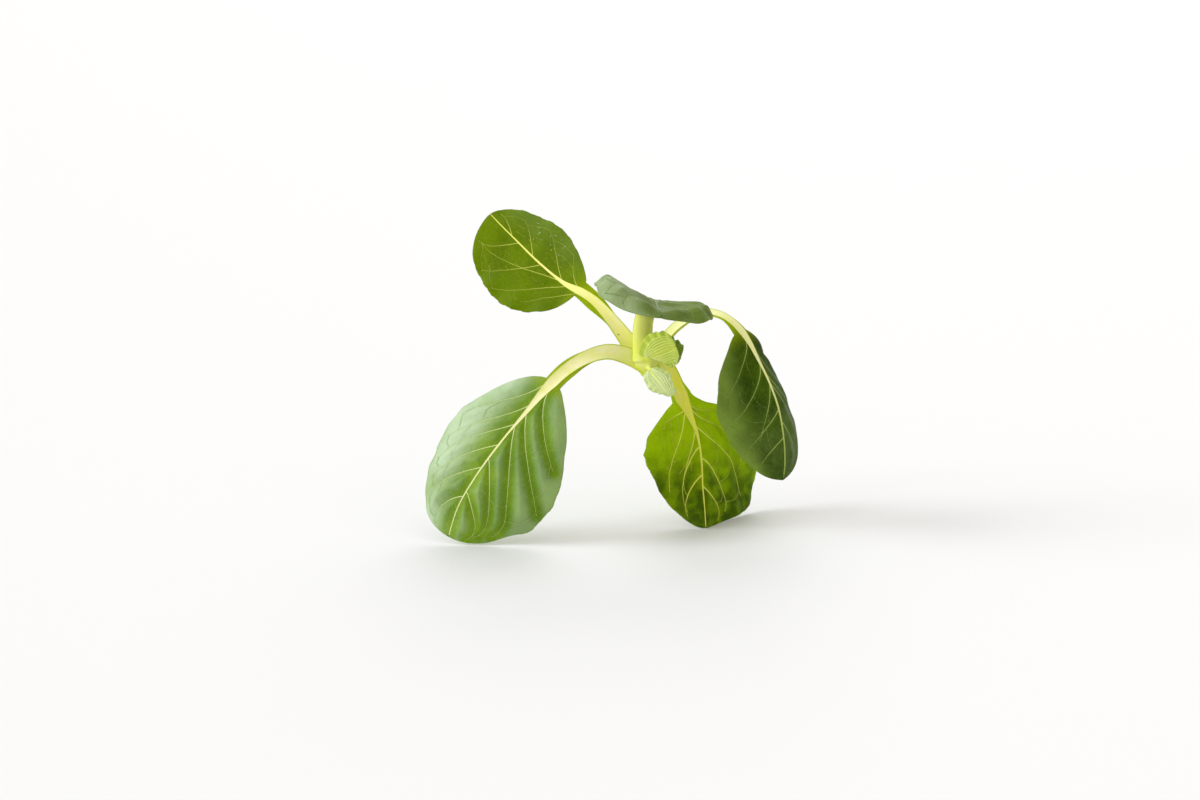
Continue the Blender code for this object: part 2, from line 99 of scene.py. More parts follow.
anyLeaf = {
    "taper": 0.5, "square": 2.3, "waves": 4.0, "valley": 0.0, "opening": 11.0, "edgeDrop": (0.3, 0.55),
    "sideDrop": (1.0, 1.0), "drift": (0.0, 0.0, 0.0), "bulge": 0.7, "fan": (), "sideVeins": [],
}
upperLeftLeaf = {
    **anyLeaf, "name": "UpperLeft", "nodes": ("petiole_upper_left", "blade_upper_left"), "seed": 1,
    "spine": [(-2.4, 2.2, 44.8), (-4.4, 4.8, 48.3), (-10, 9, 54.9), (-15.8, 13, 60.1),
              (-21.3, 17, 63.2), (-27.2, 21, 66.7), (-33.5, 25, 70.5), (-41.6, 29, 75)],
    "facing": [(0.3, -0.8, 0.4), (0.3, -0.8, 0.4), (0.2, -0.9, 0.4), (0.1, -1, 0.3),
               (0, -1, 0.25), (0, -1, 0.2), (0, -1, 0.2), (0, -1, 0.2)],
    "neck": 0.42, "wing": 0.16, "baseHalfWidth": 2.8, "neckHalfWidth": 1.1, "wingWidth": (0.5, 1.0),
    "widest": (0.48, 0.5), "halfWidth": (9.2, 14.2), "shoulder": (0.8, 0.6), "wave": 0.5,
    "fold": ((0, 2, 4), (0, 4, 4)), "curl": ((-0.2, -0.4, -0.6), (-0.2, -0.5, -0.8)),
    "crimpShare": 0.009, "bulge": 0.25, "pucker": (0.1, 2.6), "raisedAbove": 0.5,
    "veinHalfWidth": 0.17, "drift": (-1.4, -0.3, 3.0),
    "sideVeins": [(0, 0.02, 0.22, 0.85, 1), (0, 0.18, 0.5, 0.8, 1.1), (0, 0.5, 0.72, 0.7, 1),
                  (0, 0.74, 0.92, 0.6, 1), (1, -0.12, 0.33, 0.8, 1), (1, 0.12, 0.62, 0.92, 1.3),
                  (1, 0.2, 0.92, 0.62, 1), (1, 0.4, 0.8, 0.9, 1.1), (1, 0.66, 0.95, 0.72, 1)],
}
lowerLeftLeaf = {
    **anyLeaf, "name": "LowerLeft", "nodes": ("petiole_lower_left", "blade_lower_left"), "seed": 2,
    "spine": [(1, -0.4, 43), (-4, -0.4, 45.5), (-9.5, -0.4, 46.8), (-15, -1, 45.4),
              (-20, -2, 42.3), (-24.4, -3.5, 38), (-29.4, -6, 32.2), (-35, -8.5, 25.4),
              (-40.8, -10, 17), (-45.2, -10.8, 8.7), (-47.3, -11.2, 1.2)],
    "facing": [(-0.1, -0.85, 0.5), (-0.1, -0.85, 0.5), (-0.1, -0.85, 0.5), (-0.15, -0.85, 0.5),
               (-0.2, -0.85, 0.45), (-0.25, -0.85, 0.4), (-0.3, -0.85, 0.4), (-0.3, -0.85, 0.35),
               (-0.3, -0.9, 0.3), (-0.3, -0.95, 0.25), (-0.3, -1, 0.2)],
    "neck": 0.37, "wing": 0.17, "baseHalfWidth": 2.6, "neckHalfWidth": 1.55, "wingWidth": (0.4, 0.4),
    "widest": (0.46, 0.6), "halfWidth": (17.8, 18.4), "shoulder": (0.8, 0.8), "wave": 0.3, "waves": 5.0,
    "fold": ((-4, -4, -4), (-4, -6, -6)), "curl": ((-1.0, -1.2, -1.2), (-1.0, -1.2, -1.2)),
    "crimpShare": 0.004, "edgeDrop": (1.0, 0.55), "bulge": 1.65, "pucker": (0.1, 3.0),
    "raisedAbove": 0.6, "veinHalfWidth": 0.2, "drift": (0.4, 1.4, 2.4),
    "sideVeins": [(0, 0.02, 0.34, 0.85, 1), (0, 0.17, 0.58, 0.92, 1), (0, 0.3, 0.68, 0.9, 1),
                  (0, 0.44, 0.78, 0.88, 1), (0, 0.59, 0.86, 0.88, 1), (0, 0.77, 0.95, 0.8, 1.1),
                  (1, 0.05, 0.38, 0.85, 1), (1, 0.22, 0.66, 0.92, 1.1), (1, 0.31, 0.94, 0.84, 1.1),
                  (1, 0.53, 0.95, 0.62, 1.2), (1, 0.74, 0.98, 0.55, 1.2)],
}
topLeaf = {
    **anyLeaf, "name": "Top", "nodes": ("petiole_top", "blade_top"), "seed": 3,
    "spine": [(-0.4, -1.3, 44.8), (-0.7, -1.1, 48), (-0.9, 0, 51.6), (-0.5, 1.2, 54.8),
              (0.7, 1.6, 57.8), (1.8, -0.6, 59.9), (2.3, -4.6, 60.6), (2.5, -12, 60.2),
              (2.8, -19, 60.9), (3.4, -26, 61.3)],
    "facing": [(0, 1, 0.2), (0, 1, 0.1), (0, 1, 0.3), (0.1, 0.95, 0.4), (0.15, 0.8, 0.6),
               (0.2, 0.4, 1), (0.2, 0.1, 1), (0.2, 0, 1), (0.2, 0, 1), (0.2, 0, 1)],
    "neck": 0.36, "wing": 0.22, "baseHalfWidth": 2.9, "neckHalfWidth": 2.3, "wingWidth": (0.6, 0.6),
    "widest": (0.5, 0.5), "halfWidth": (18.2, 14.6), "shoulder": (0.65, 0.65), "square": 3.6, "wave": 0.3,
    "fold": ((8, 25, 12), (8, 16, 12)), "curl": ((0.0, 0.0, 0.0), (0.0, 0.0, 0.0)), "valley": 1.6,
    "crimpShare": 0.006, "edgeDrop": (3.0, 0.72), "sideDrop": (1.6, 1.2), "pucker": (0.2, 2.6),
    "raisedAbove": 0.45, "veinHalfWidth": 0.24,
    "sideVeins": [(0, 0.04, 0.34, 0.88, 1), (0, 0.22, 0.58, 0.92, 1.1), (0, 0.42, 0.78, 0.9, 1.1),
                  (0, 0.64, 0.93, 0.82, 1.1), (1, 0.03, 0.3, 0.88, 1), (1, 0.18, 0.52, 0.92, 1.1),
                  (1, 0.36, 0.74, 0.9, 1.1), (1, 0.58, 0.92, 0.8, 1.1)],
}
rightLeaf = {
    **anyLeaf, "name": "Right", "nodes": ("petiole_right", "blade_right"), "seed": 4,
    "spine": [(1.6, 2.2, 46.2), (4.5, 5.6, 48.7), (7.9, 8, 51.8), (12.4, 8, 54.6), (17, 6.5, 55.4),
              (21.2, 4.2, 53.6), (24.9, 1.8, 49.2), (27.6, 0, 44.9), (30.6, -1.5, 39.4),
              (33.1, -2, 32.9), (34.4, -2, 26), (34.8, -1.5, 19.5), (34.4, -0.5, 14)],
    "facing": [(-0.4, -0.2, 0.9), (-0.4, -0.3, 0.8), (-0.2, -0.4, 0.8), (0.1, -0.5, 0.8), (0.3, -0.5, 0.7),
               (0.4, -0.6, 0.6), (0.4, -0.7, 0.5), (0.4, -0.8, 0.35), (0.4, -0.85, 0.3),
               (0.4, -0.85, 0.2), (0.4, -0.85, 0.1), (0.4, -0.85, 0), (0.4, -0.85, -0.1)],
    "neck": 0.42, "wing": 0.28, "baseHalfWidth": 2.0, "neckHalfWidth": 1.1, "wingWidth": (0.6, 0.6),
    "widest": (0.48, 0.56), "halfWidth": (14.5, 14.0), "shoulder": (0.8, 1.0), "wave": 0.3,
    "fold": ((-16, -22, -16), (-36, -46, -28)), "curl": ((-0.3, -0.6, -1.0), (-0.5, -0.8, -1.0)),
    "crimpShare": 0.005, "edgeDrop": (0.8, 0.55), "pucker": (0.2, 2.4),
    "raisedAbove": 0.6, "veinHalfWidth": 0.19, "drift": (-0.8, 0.1, -0.3),
    "sideVeins": [(0, 0.07, 0.34, 0.85, 1), (0, 0.24, 0.6, 0.95, 0.8), (0, 0.38, 0.72, 0.45, 0.9),
                  (0, 0.54, 0.82, 0.85, 0.9), (0, 0.72, 0.94, 0.75, 1), (1, 0.12, 0.5, 0.9, 1.1),
                  (1, 0.31, 0.62, 0.92, 1.1), (1, 0.37, 0.76, 0.92, 1.1), (1, 0.62, 0.93, 0.8, 1.1)],
}
lowerRightLeaf = {
    **anyLeaf, "name": "LowerRight", "nodes": ("petiole_lower_right", "blade_lower_right"), "seed": 5,
    "spine": [(2.7, 1, 43.4), (5.5, 3.2, 41.8), (8.2, 6, 35.6), (11, 8.5, 29.1), (13.2, 10, 22.8),
              (14.2, 10, 16.2), (14.5, 8.8, 10.4), (15, 6.6, 5.2), (15.4, 4.4, 0.2)],
    "facing": [(0.6, -0.5, 0.5), (0.5, -0.7, 0.4), (0.35, -0.85, 0.3), (0.2, -0.95, 0.2), (0.1, -1, 0.1),
               (0.1, -1, 0), (0.1, -1, -0.1), (0, -1, -0.2), (0, -1, -0.2)],
    "neck": 0.27, "wing": 0.12, "baseHalfWidth": 2.3, "neckHalfWidth": 2.1, "wingWidth": (0.75, 0.75),
    "widest": (0.32, 0.62), "halfWidth": (14.0, 22.0), "shoulder": (0.6, 1.8), "taper": 0.8, "wave": 0.5,
    "fold": ((4, 4, -10), (-15, -32, -62)), "curl": ((0.4, 0.4, 0.0), (-0.4, -0.4, -0.4)),
    "crimpShare": 0.008, "pucker": (0.55, 2.4),
    "raisedAbove": 0.75, "veinHalfWidth": 0.28, "drift": (0.0, -0.2, 0.0),
    "sideVeins": [(0, 0.11, 0.1, 0.6, 1), (0, 0.13, 0.72, 0.78, 1.2), (0, 0.3, 0.56, 0.3, 1),
                  (0, 0.42, 0.84, 0.6, 1.4), (0, 0.62, 0.9, 0.75, 1.1), (1, 0.08, 0.26, 0.8, 1),
                  (1, 0.12, 0.42, 0.62, 1.1), (1, 0.27, 0.74, 0.76, 1.1), (1, 0.5, 0.86, 0.55, 1.2),
                  (1, 0.7, 0.92, 0.5, 1.1)],
}

youngLeaf = {
    **anyLeaf, "neck": 0.12, "wing": 0.05, "baseHalfWidth": 0.6, "neckHalfWidth": 0.4,
    "wingWidth": (0.75, 0.75), "shoulder": (0.8, 0.8), "waves": 6.0, "opening": 1.2, "pucker": (0.12, 1.0),
    "crimpShare": 0.02, "edgeDrop": (0.0, 0.5), "raisedAbove": 0.7, "veinHalfWidth": 0.13,
}
heartUpperLeaf = {
    **youngLeaf, "name": "HeartUpper", "nodes": ("heart_leaf_upper",), "seed": 6,
    "spine": [(0.4, -2.6, 45.9), (0.9, -5, 46.7), (2.6, -6.7, 47.8), (4.9, -7.6, 48.9), (7.2, -8.2, 49.7)],
    "facing": [(-0.1, 0.95, 0.3), (-0.1, 0.95, 0.3), (0, 0.95, 0.3), (0.1, 0.95, 0.25), (0.2, 1, 0.2)],
    "widest": (0.64, 0.6), "halfWidth": (4.9, 5.3), "wave": 0.35, "edgeDrop": (0.3, 0.55),
    "fold": ((6, 6, 6), (6, 6, 6)), "curl": ((3.0, 3.0, 3.0), (3.0, 3.0, 3.0)), "bulge": 0.25,
    "veinHalfWidth": 0.15, "fan": (0.16, 0.32, 0.48, 0.64, 0.8),
}
heartLowerLeaf = {
    **youngLeaf, "name": "HeartLower", "nodes": ("heart_leaf_lower",), "seed": 7,
    "spine": [(0.8, -2.6, 43.4), (1.4, -5, 42.4), (3.1, -7, 40.8), (4.8, -8, 38.7), (6, -7.5, 37.1)],
    "facing": [(0.3, 0.6, -0.6), (0.3, 0.7, -0.5), (0.4, 0.8, -0.3), (0.5, 0.8, 0), (0.6, 0.8, 0.2)],
    "baseHalfWidth": 0.7, "neckHalfWidth": 0.5,
    "widest": (0.5, 0.5), "halfWidth": (2.6, 3.2), "wave": 0.3, "waves": 5.0,
    "fold": ((10, 10, 10), (10, 10, 10)), "curl": ((6.0, 8.0, 8.0), (6.0, 8.0, 8.0)), "bulge": 0.2,
    "fan": (0.25, 0.5, 0.75),
}
heartBackLeaf = {
    **youngLeaf, "name": "HeartBack", "nodes": ("heart_leaf_back",), "seed": 8,
    "spine": [(2.4, -1.2, 46.6), (3.6, -2.6, 47.3), (5.2, -3.7, 47.6), (6.9, -4.4, 47.3), (8.6, -4.8, 46.6)],
    "facing": [(-0.2, 0.9, 0.4), (-0.2, 0.9, 0.4), (0, 0.9, 0.3), (0.2, 0.9, 0.3), (0.4, 0.9, 0.2)],
    "widest": (0.6, 0.6), "halfWidth": (3.4, 4.6), "wave": 0.4, "crimpShare": 0.03, "pucker": (0.15, 1.0),
    "fold": ((8, 8, 8), (8, 8, 8)), "curl": ((2.0, 2.0, 2.0), (2.0, 2.0, 2.0)), "bulge": 0.3,
    "raisedAbove": 0.6, "fan": (0.2, 0.4, 0.6, 0.8),
}
grownLeaves = [upperLeftLeaf, lowerLeftLeaf, topLeaf, rightLeaf, lowerRightLeaf]
youngLeaves = [heartUpperLeaf, heartLowerLeaf, heartBackLeaf]

# How finely the leaves are made, and what all of them share
leafMaking = {
    "crimps": 9, "slotGap": 0.3, "bladeThickness": 0.5, "edgeThickness": 0.3, "edgeRound": 0.12,
    "midribHalf": 0.38, "midribThins": 0.27, "depthShare": 0.68, "grooveDepth": 0.13, "ridgeHeight": 0.2,
    "panelReach": 2.6, "swellDrop": 0.3, "belowShare": 0.8, "thinnestRib": 0.045, "ribSides": 8,
    "bladeRows": 150, "wingRows": 30, "columns": 109, "stalkStep": 0.5, "topPoints": 33, "backPoints": 33,
}
youngMaking = {
    **leafMaking, "bladeThickness": 0.42, "edgeThickness": 0.26, "grooveDepth": -0.05, "ridgeHeight": 0.1,
    "panelReach": 0.45, "bladeRows": 90, "wingRows": 8, "columns": 91, "stalkStep": 0.2, "topPoints": 13,
    "backPoints": 13,
}


def bladeShare(leaf, line, s):
    neck = leaf["neck"] * line.length
    return (s - neck) / (line.length - neck)


def ribHalf(leaf, line, s):
    u = bladeShare(leaf, line, s)
    neck = leaf["neckHalfWidth"]
    down = np.clip(1 + u * (1 - leaf["neck"]) / leaf["neck"], 0, 1)
    petiole = neck + (leaf["baseHalfWidth"] - neck) * (1 - down) ** 1.6
    inside = np.clip(u, 0, 1)
    thin = leafMaking["midribHalf"] - leafMaking["midribThins"] * inside
    midrib = np.maximum(neck * (1 - inside) ** 4.2, thin)
    return np.where(u < 0, petiole, midrib)


def edgeDistance(leaf, line, s, side):
    # From the midline out to the blade's edge, with the green wings beside the stalk
    u = bladeShare(leaf, line, s)
    widest, full, wing = leaf["widest"][side], leaf["halfWidth"][side], leaf["wingWidth"][side]
    rising = np.sin(0.5 * math.pi * np.clip(u / widest, 0, 1)) ** leaf["shoulder"][side]
    falling = 1 - (np.clip(u - widest, 0, 1) / (1 - widest)) ** leaf["square"]
    falling = np.clip(falling, 0, 1) ** leaf["taper"]
    turn = 2 * math.pi * (leafMaking["crimps"] * u + 0.37 * leaf["seed"] + 0.5 * side)
    crimp = 1 + leaf["crimpShare"] * (np.sin(turn) + 0.4 * np.sin(2.6 * turn + leaf["seed"]))
    blade = wing + (full - wing) * np.where(u < widest, rising, falling) * crimp
    rib = ribHalf(leaf, line, s)
    slot = (rib + leafMaking["slotGap"]) * (1 - ease(0.5, 0.7, u))
    grown = ease(0, leaf["opening"], s - leaf["wing"] * line.length)
    return (rib - leafMaking["slotGap"]) * (1 - grown) + (blade + slot) * grown


def lumps(s, x, size, seed, gridSize=64):
    # Smooth random bumps between -1 and 1 over the leaf's plan, of the size given in millimetres
    grid = np.random.default_rng(seed).uniform(-1, 1, (gridSize, gridSize))
    a, b = s / size + 20.0, x / size + 30.0
    i, j = np.floor(a).astype(int), np.floor(b).astype(int)
    f, g = ease(0, 1, a - i), ease(0, 1, b - j)

    def row(n):
        here = grid[i % gridSize, (j + n) % gridSize]
        following = grid[(i + 1) % gridSize, (j + n) % gridSize]
        return here * (1 - f) + following * f

    return row(0) * (1 - g) + row(1) * g


def driftOf(leaf, u):
    # The midrib wanders a little to one side of the midline
    return threePoint(leaf["drift"], u) * ease(-0.2, 0.15, u)


def surfaceAt(leaf, line, s, x):
    # The leaf's middle surface, at distance s along it and x across it
    point, across, facing = line.read(s)
    u = bladeShare(leaf, line, s)
    second = x < 0

    def bySide(pair):
        return np.where(second, pair[1], pair[0])

    inner = np.minimum(np.abs(x), ribHalf(leaf, line, s))
    d = np.abs(x) - inner
    opened = np.clip(u * 6, 0, 1)
    fold = np.radians(bySide([threePoint(values, u) for values in leaf["fold"]])) * opened
    curl = np.radians(bySide([threePoint(values, u) for values in leaf["curl"]])) * opened
    curl = np.where(np.abs(curl) < 1e-5, 1e-5, curl)
    out = (np.sin(fold + curl * d) - np.sin(fold)) / curl
    high = np.hypot(d, leaf["valley"]) - leaf["valley"]
    rise = (np.cos(fold) - np.cos(fold + curl * high)) / curl
    reach = bySide([np.maximum(edgeDistance(leaf, line, s, side), 1) for side in (0, 1)])
    full = bySide(leaf["halfWidth"])
    edge = np.clip(np.abs(x) / reach, 0, 1)
    turn = 2 * math.pi * (leaf["waves"] * u + 0.23 * leaf["seed"] + 0.4 * second)
    nearEnds = opened * np.clip((reach / full - 0.2) * 2, 0, 1)
    rise = rise + leaf["wave"] * edge**3 * np.sin(turn) * nearEnds
    border = 1 - (1 - edge) * np.clip((1 - u) / 0.45, 0, 1)
    droop, start = leaf["edgeDrop"]
    falls = ease(start, 1.05, border) ** 1.4 * opened
    sideways = np.clip(np.abs(x) / (0.9 * full), 0, 1)
    rise = rise - droop * falls * (0.4 + (bySide(leaf["sideDrop"]) - 0.4) * sideways)
    out = out * (1 - 0.02 * droop * falls)
    return point + (np.sign(x) * (inner + out))[..., None] * across + rise[..., None] * facing


def placeVein(leaf, line, side, u, out):
    # Distances along and across the leaf, from the midrib's side out to a share of the way to the edge
    s = (leaf["neck"] + (1 - leaf["neck"]) * u) * line.length
    sign = 1 - 2 * side
    start = driftOf(leaf, u) + sign * 0.8 * ribHalf(leaf, line, s)
    return s, start * (1 - out) + sign * out * edgeDistance(leaf, line, s, side)


veinMaking = {
    "points": 16, "thins": 0.62, "fades": 0.65, "fanPoints": 14, "fanReach": 0.97, "fanBow": 0.35,
    "fanThins": 0.5, "fanFades": 0.4, "linkPoints": 9, "linksAt": (0.36, 0.66, 0.98), "linkBow": 0.03,
    "linkWidth": 0.34, "linkTone": 0.22,
}


def veinNetwork(leaf, line):
    # Side veins, fan veins, and the smaller veins that link each side vein to the next one
    m = veinMaking
    rng = np.random.default_rng(leaf["seed"] + 40)
    wide = leaf["veinHalfWidth"]
    veins = []

    def keep(side, u, out, half, tone, main):
        s, x = placeVein(leaf, line, side, u, out)
        veins.append({"s": s, "x": x, "half": half, "tone": tone, "main": main})

    for side in (0, 1):
        rows = sorted(v for v in leaf["sideVeins"] if v[0] == side)
        t = np.linspace(0, 1, m["points"])
        for _, start, end, reach, bow in rows:
            u = start + (end - start) * t**bow
            keep(side, u, reach * t, wide * (1 - m["thins"] * t), 1 - m["fades"] * t**0.7, True)
        t = np.linspace(0, 1, m["fanPoints"])
        for share in leaf["fan"]:
            half = wide * (1 - m["fanThins"] * t)
            keep(side, m["fanReach"] * t, share * t ** m["fanBow"], half, 1 - m["fanFades"] * t, True)
        t = np.linspace(0, 1, m["linkPoints"])
        linkHalf, linkTone = np.full(len(t), m["linkWidth"] * wide), np.full(len(t), m["linkTone"])
        for low, high in zip(rows, rows[1:]):
            for where in m["linksAt"]:
                lowShare = where + rng.uniform(-0.06, 0.02)
                highShare = where * 0.8 + rng.uniform(-0.06, 0.06)
                first, last = ((v[1] + (v[2] - v[1]) * f ** v[4], v[3] * f)
                               for v, f in ((low, lowShare), (high, highShare)))
                bulge = m["linkBow"] * np.sin(math.pi * t) * rng.uniform(0.4, 1.4)
                u, out = (first[k] + (last[k] - first[k]) * t + bulge for k in (0, 1))
                keep(side, u, out, linkHalf, linkTone, False)
    return veins


def nearestVein(veins, s, x, farthest=30.0):
    # For each point: how near a vein is in vein widths, how pale that vein is, and how far the nearest
    # main vein is in millimetres
    near = np.full(s.shape, farthest)
    far = np.full(s.shape, farthest)
    tone = np.zeros(s.shape)
    for v in veins:
        for k in range(len(v["s"]) - 1):
            a = np.array((v["s"][k], v["x"][k]))
            step = np.array((v["s"][k + 1], v["x"][k + 1])) - a
            t = np.clip(((s - a[0]) * step[0] + (x - a[1]) * step[1]) / (step @ step + 1e-9), 0, 1)
            gap = np.hypot(s - a[0] - t * step[0], x - a[1] - t * step[1])
            half = v["half"][k] + (v["half"][k + 1] - v["half"][k]) * t
            closer = gap / half < near
            tone = np.where(closer, v["tone"][k] + (v["tone"][k + 1] - v["tone"][k]) * t, tone)
            near = np.minimum(near, gap / half)
            if v["main"]:
                far = np.minimum(far, gap)
    return near, tone, far


def panelSwell(leaf, making, far):
    # How high the panels between the main veins swell
    return leaf["bulge"] * (1 - np.exp(-((far / making["panelReach"]) ** 2)))


def swellShare(u):
    # The swelling fades out at the blade's base and tip
    return ease(0.0, 0.2, u) * (1 - ease(0.85, 1.0, u))


def giveField(mesh, key, values):
    data = mesh.attributes.new(key, "FLOAT", "POINT").data
    data.foreach_set("value", np.ravel(values).astype(np.float32))


def cleanCorners(quad):
    # A quad with two equal corners becomes a triangle
    if quad[3] in (quad[2], quad[0]):
        return quad[:3]
    return quad[1:] if quad[0] == quad[1] else quad


def addObject(name, mesh):
    obj = bpy.data.objects.new(name, mesh)
    bpy.context.scene.collection.objects.link(obj)
    return obj


def finishMesh(name, points, quads, fields=None, uv=None):
    # Makes a mesh object from millimetre points, with its attributes, faces turned outwards
    z = points[:, 2]
    room = floorEase - floorGap
    points[:, 2] = np.where(z < floorEase, floorGap + room * np.exp((z - floorEase) / room), z)
    a, b, c, d = (points[quads[:, k]] for k in range(4))
    volume = (a * np.cross(b, c)).sum() + (a * np.cross(c, d)).sum()
    if volume < 0:
        quads = quads[:, ::-1]
    mesh = bpy.data.meshes.new(name)
    faces = [cleanCorners(quad) for quad in quads.tolist()]
    mesh.from_pydata(((points + plantShift) * mm).tolist(), [], faces)
    mesh.validate()
    for key, values in (fields or {}).items():
        giveField(mesh, key, values)
    if uv is not None:
        layer = mesh.uv_layers.new(name="leafPlan")
        corner = np.empty(len(mesh.loops), int)
        mesh.loops.foreach_get("vertex_index", corner)
        layer.data.foreach_set("uv", (uv[corner] * 0.01).astype(np.float32).ravel())
    mesh.shade_smooth()
    return addObject(name, mesh)


def ringFaces(index):
    # Quads round a closed tube of rings, given as a grid of point numbers
    wrapped = np.hstack([index, index[:, :1]])
    corners = [wrapped[:-1, :-1], wrapped[1:, :-1], wrapped[1:, 1:], wrapped[:-1, 1:]]
    return np.stack(corners, -1).reshape(-1, 4)


def tubeBody(rings):
    # Points and faces of a closed tube, with a point in the middle of each end
    count, around = rings.shape[:2]
    index = np.arange(count * around).reshape(count, around)
    faces = [ringFaces(index)]
    for row, centre, flip in ((index[0], index.size, True), (index[-1], index.size + 1, False)):
        fan = np.stack([row, np.roll(row, -1), np.full(around, centre), np.full(around, centre)], -1)
        faces.append(fan[:, [1, 0, 2, 3]] if flip else fan)
    ends = np.vstack([rings[0].mean(0), rings[-1].mean(0)])
    return np.vstack([rings.reshape(-1, 3), ends]), np.concatenate(faces)


def sheetBody(name, middle, upperRise, lowerRise, edgeOut, fields, uv):
    # A closed thin body from its middle surface: upper face, rounded edges, lower face
    down, along = np.gradient(middle, axis=1), np.gradient(middle, axis=0)
    normal = unit(np.cross(down, along))
    upper = middle + normal * upperRise[..., None]
    lower = middle + normal * lowerRise[..., None]
    edges = []
    for last, before in ((-1, -2), (0, 1)):
        outward = unit(middle[:, last] - middle[:, before])
        level = 0.5 * (upperRise[:, last] + lowerRise[:, last])
        edges.append(middle[:, last] + outward * edgeOut + normal[:, last] * level[:, None])
    rows, cols = upperRise.shape
    ring = np.concatenate([upper, edges[0][:, None], lower[:, ::-1], edges[1][:, None]], 1)
    index = np.arange(rows * (2 * cols + 2)).reshape(rows, -1)
    faces = [ringFaces(index)]
    for row, flip in ((index[0], False), (index[-1], True)):
        top, bottom = row[:cols], row[cols + 1:2 * cols + 1][::-1]
        cap = np.stack([top[:-1], top[1:], bottom[1:], bottom[:-1]], -1)
        left = (top[-1], row[cols], bottom[-1], bottom[-1])
        right = (row[-1], top[0], bottom[0], bottom[0])
        cap = np.concatenate([cap, np.array([left, right])])
        faces.append(cap[:, ::-1] if flip else cap)

    def allRound(values):
        return np.concatenate([values, values[:, -1:], values[:, ::-1], values[:, :1]], 1)

    given = {key: allRound(values) for key, values in fields.items()}
    edgeColumn = np.full((rows, 1), 0.5)
    upperFace = [np.ones((rows, cols)), edgeColumn, np.zeros((rows, cols)), edgeColumn]
    given["upperFace"] = np.concatenate(upperFace, 1)
    plan = np.stack([allRound(uv[0]), allRound(uv[1])], -1).reshape(-1, 2)
    return finishMesh(name, ring.reshape(-1, 3), np.concatenate(faces), given, plan)


def makeBlade(leaf, line, veins, making):
    neck, tip = leaf["neck"] * line.length, line.length
    wing = np.linspace(leaf["wing"] * tip, neck, making["wingRows"], endpoint=False)
    blade = neck + (tip - neck) * np.sin(0.5 * math.pi * np.linspace(0, 1, making["bladeRows"])) * 0.9999
    s = np.repeat(np.concatenate([wing, blade])[:, None], making["columns"], 1)
    column = np.linspace(-1, 1, making["columns"])[None, :] * np.ones_like(s)
    x = column * np.where(column < 0, edgeDistance(leaf, line, s, 1), edgeDistance(leaf, line, s, 0))
    u = bladeShare(leaf, line, s)
    near, tone, far = nearestVein(veins, s, x)
    rib = ribHalf(leaf, line, s)
    fromRib = np.abs(x - driftOf(leaf, u))
    far = np.minimum(far, np.maximum(fromRib - rib, 0))
    edge = np.abs(column)
    height, size = leaf["pucker"]
    swell = panelSwell(leaf, making, far) * (1 - 0.7 * edge**4) - making["swellDrop"] * leaf["bulge"]
    away = np.clip(far / making["panelReach"], 0, 1) * (1 - edge**6)
    swell = (swell + height * lumps(s, x, size, leaf["seed"]) * away) * swellShare(u)
    edgeThinner = making["bladeThickness"] - making["edgeThickness"]
    thick = 0.5 * (making["bladeThickness"] - edgeThinner * edge**3)
    buried = 1 - ease(0.55, 0.95, fromRib / rib)  # the blade runs in under the midrib
    groove = np.exp(-(near / 1.3) ** 2) * ease(-0.05, 0.1, u)
    upper = swell + thick * (1 - buried) - 0.1 * buried - making["grooveDepth"] * groove
    lower = swell - thick * (1 - buried) - 0.25 * buried - making["ridgeHeight"] * groove
    fields = {"veinNear": near, "veinTone": tone, "panel": far, "edgeShare": edge, "alongBlade": u,
              "ribGap": fromRib - rib, "sideShare": column}
    middle = surfaceAt(leaf, line, s, x)
    return sheetBody("blade" + leaf["name"], middle, upper, lower, making["edgeRound"], fields, (x, s))


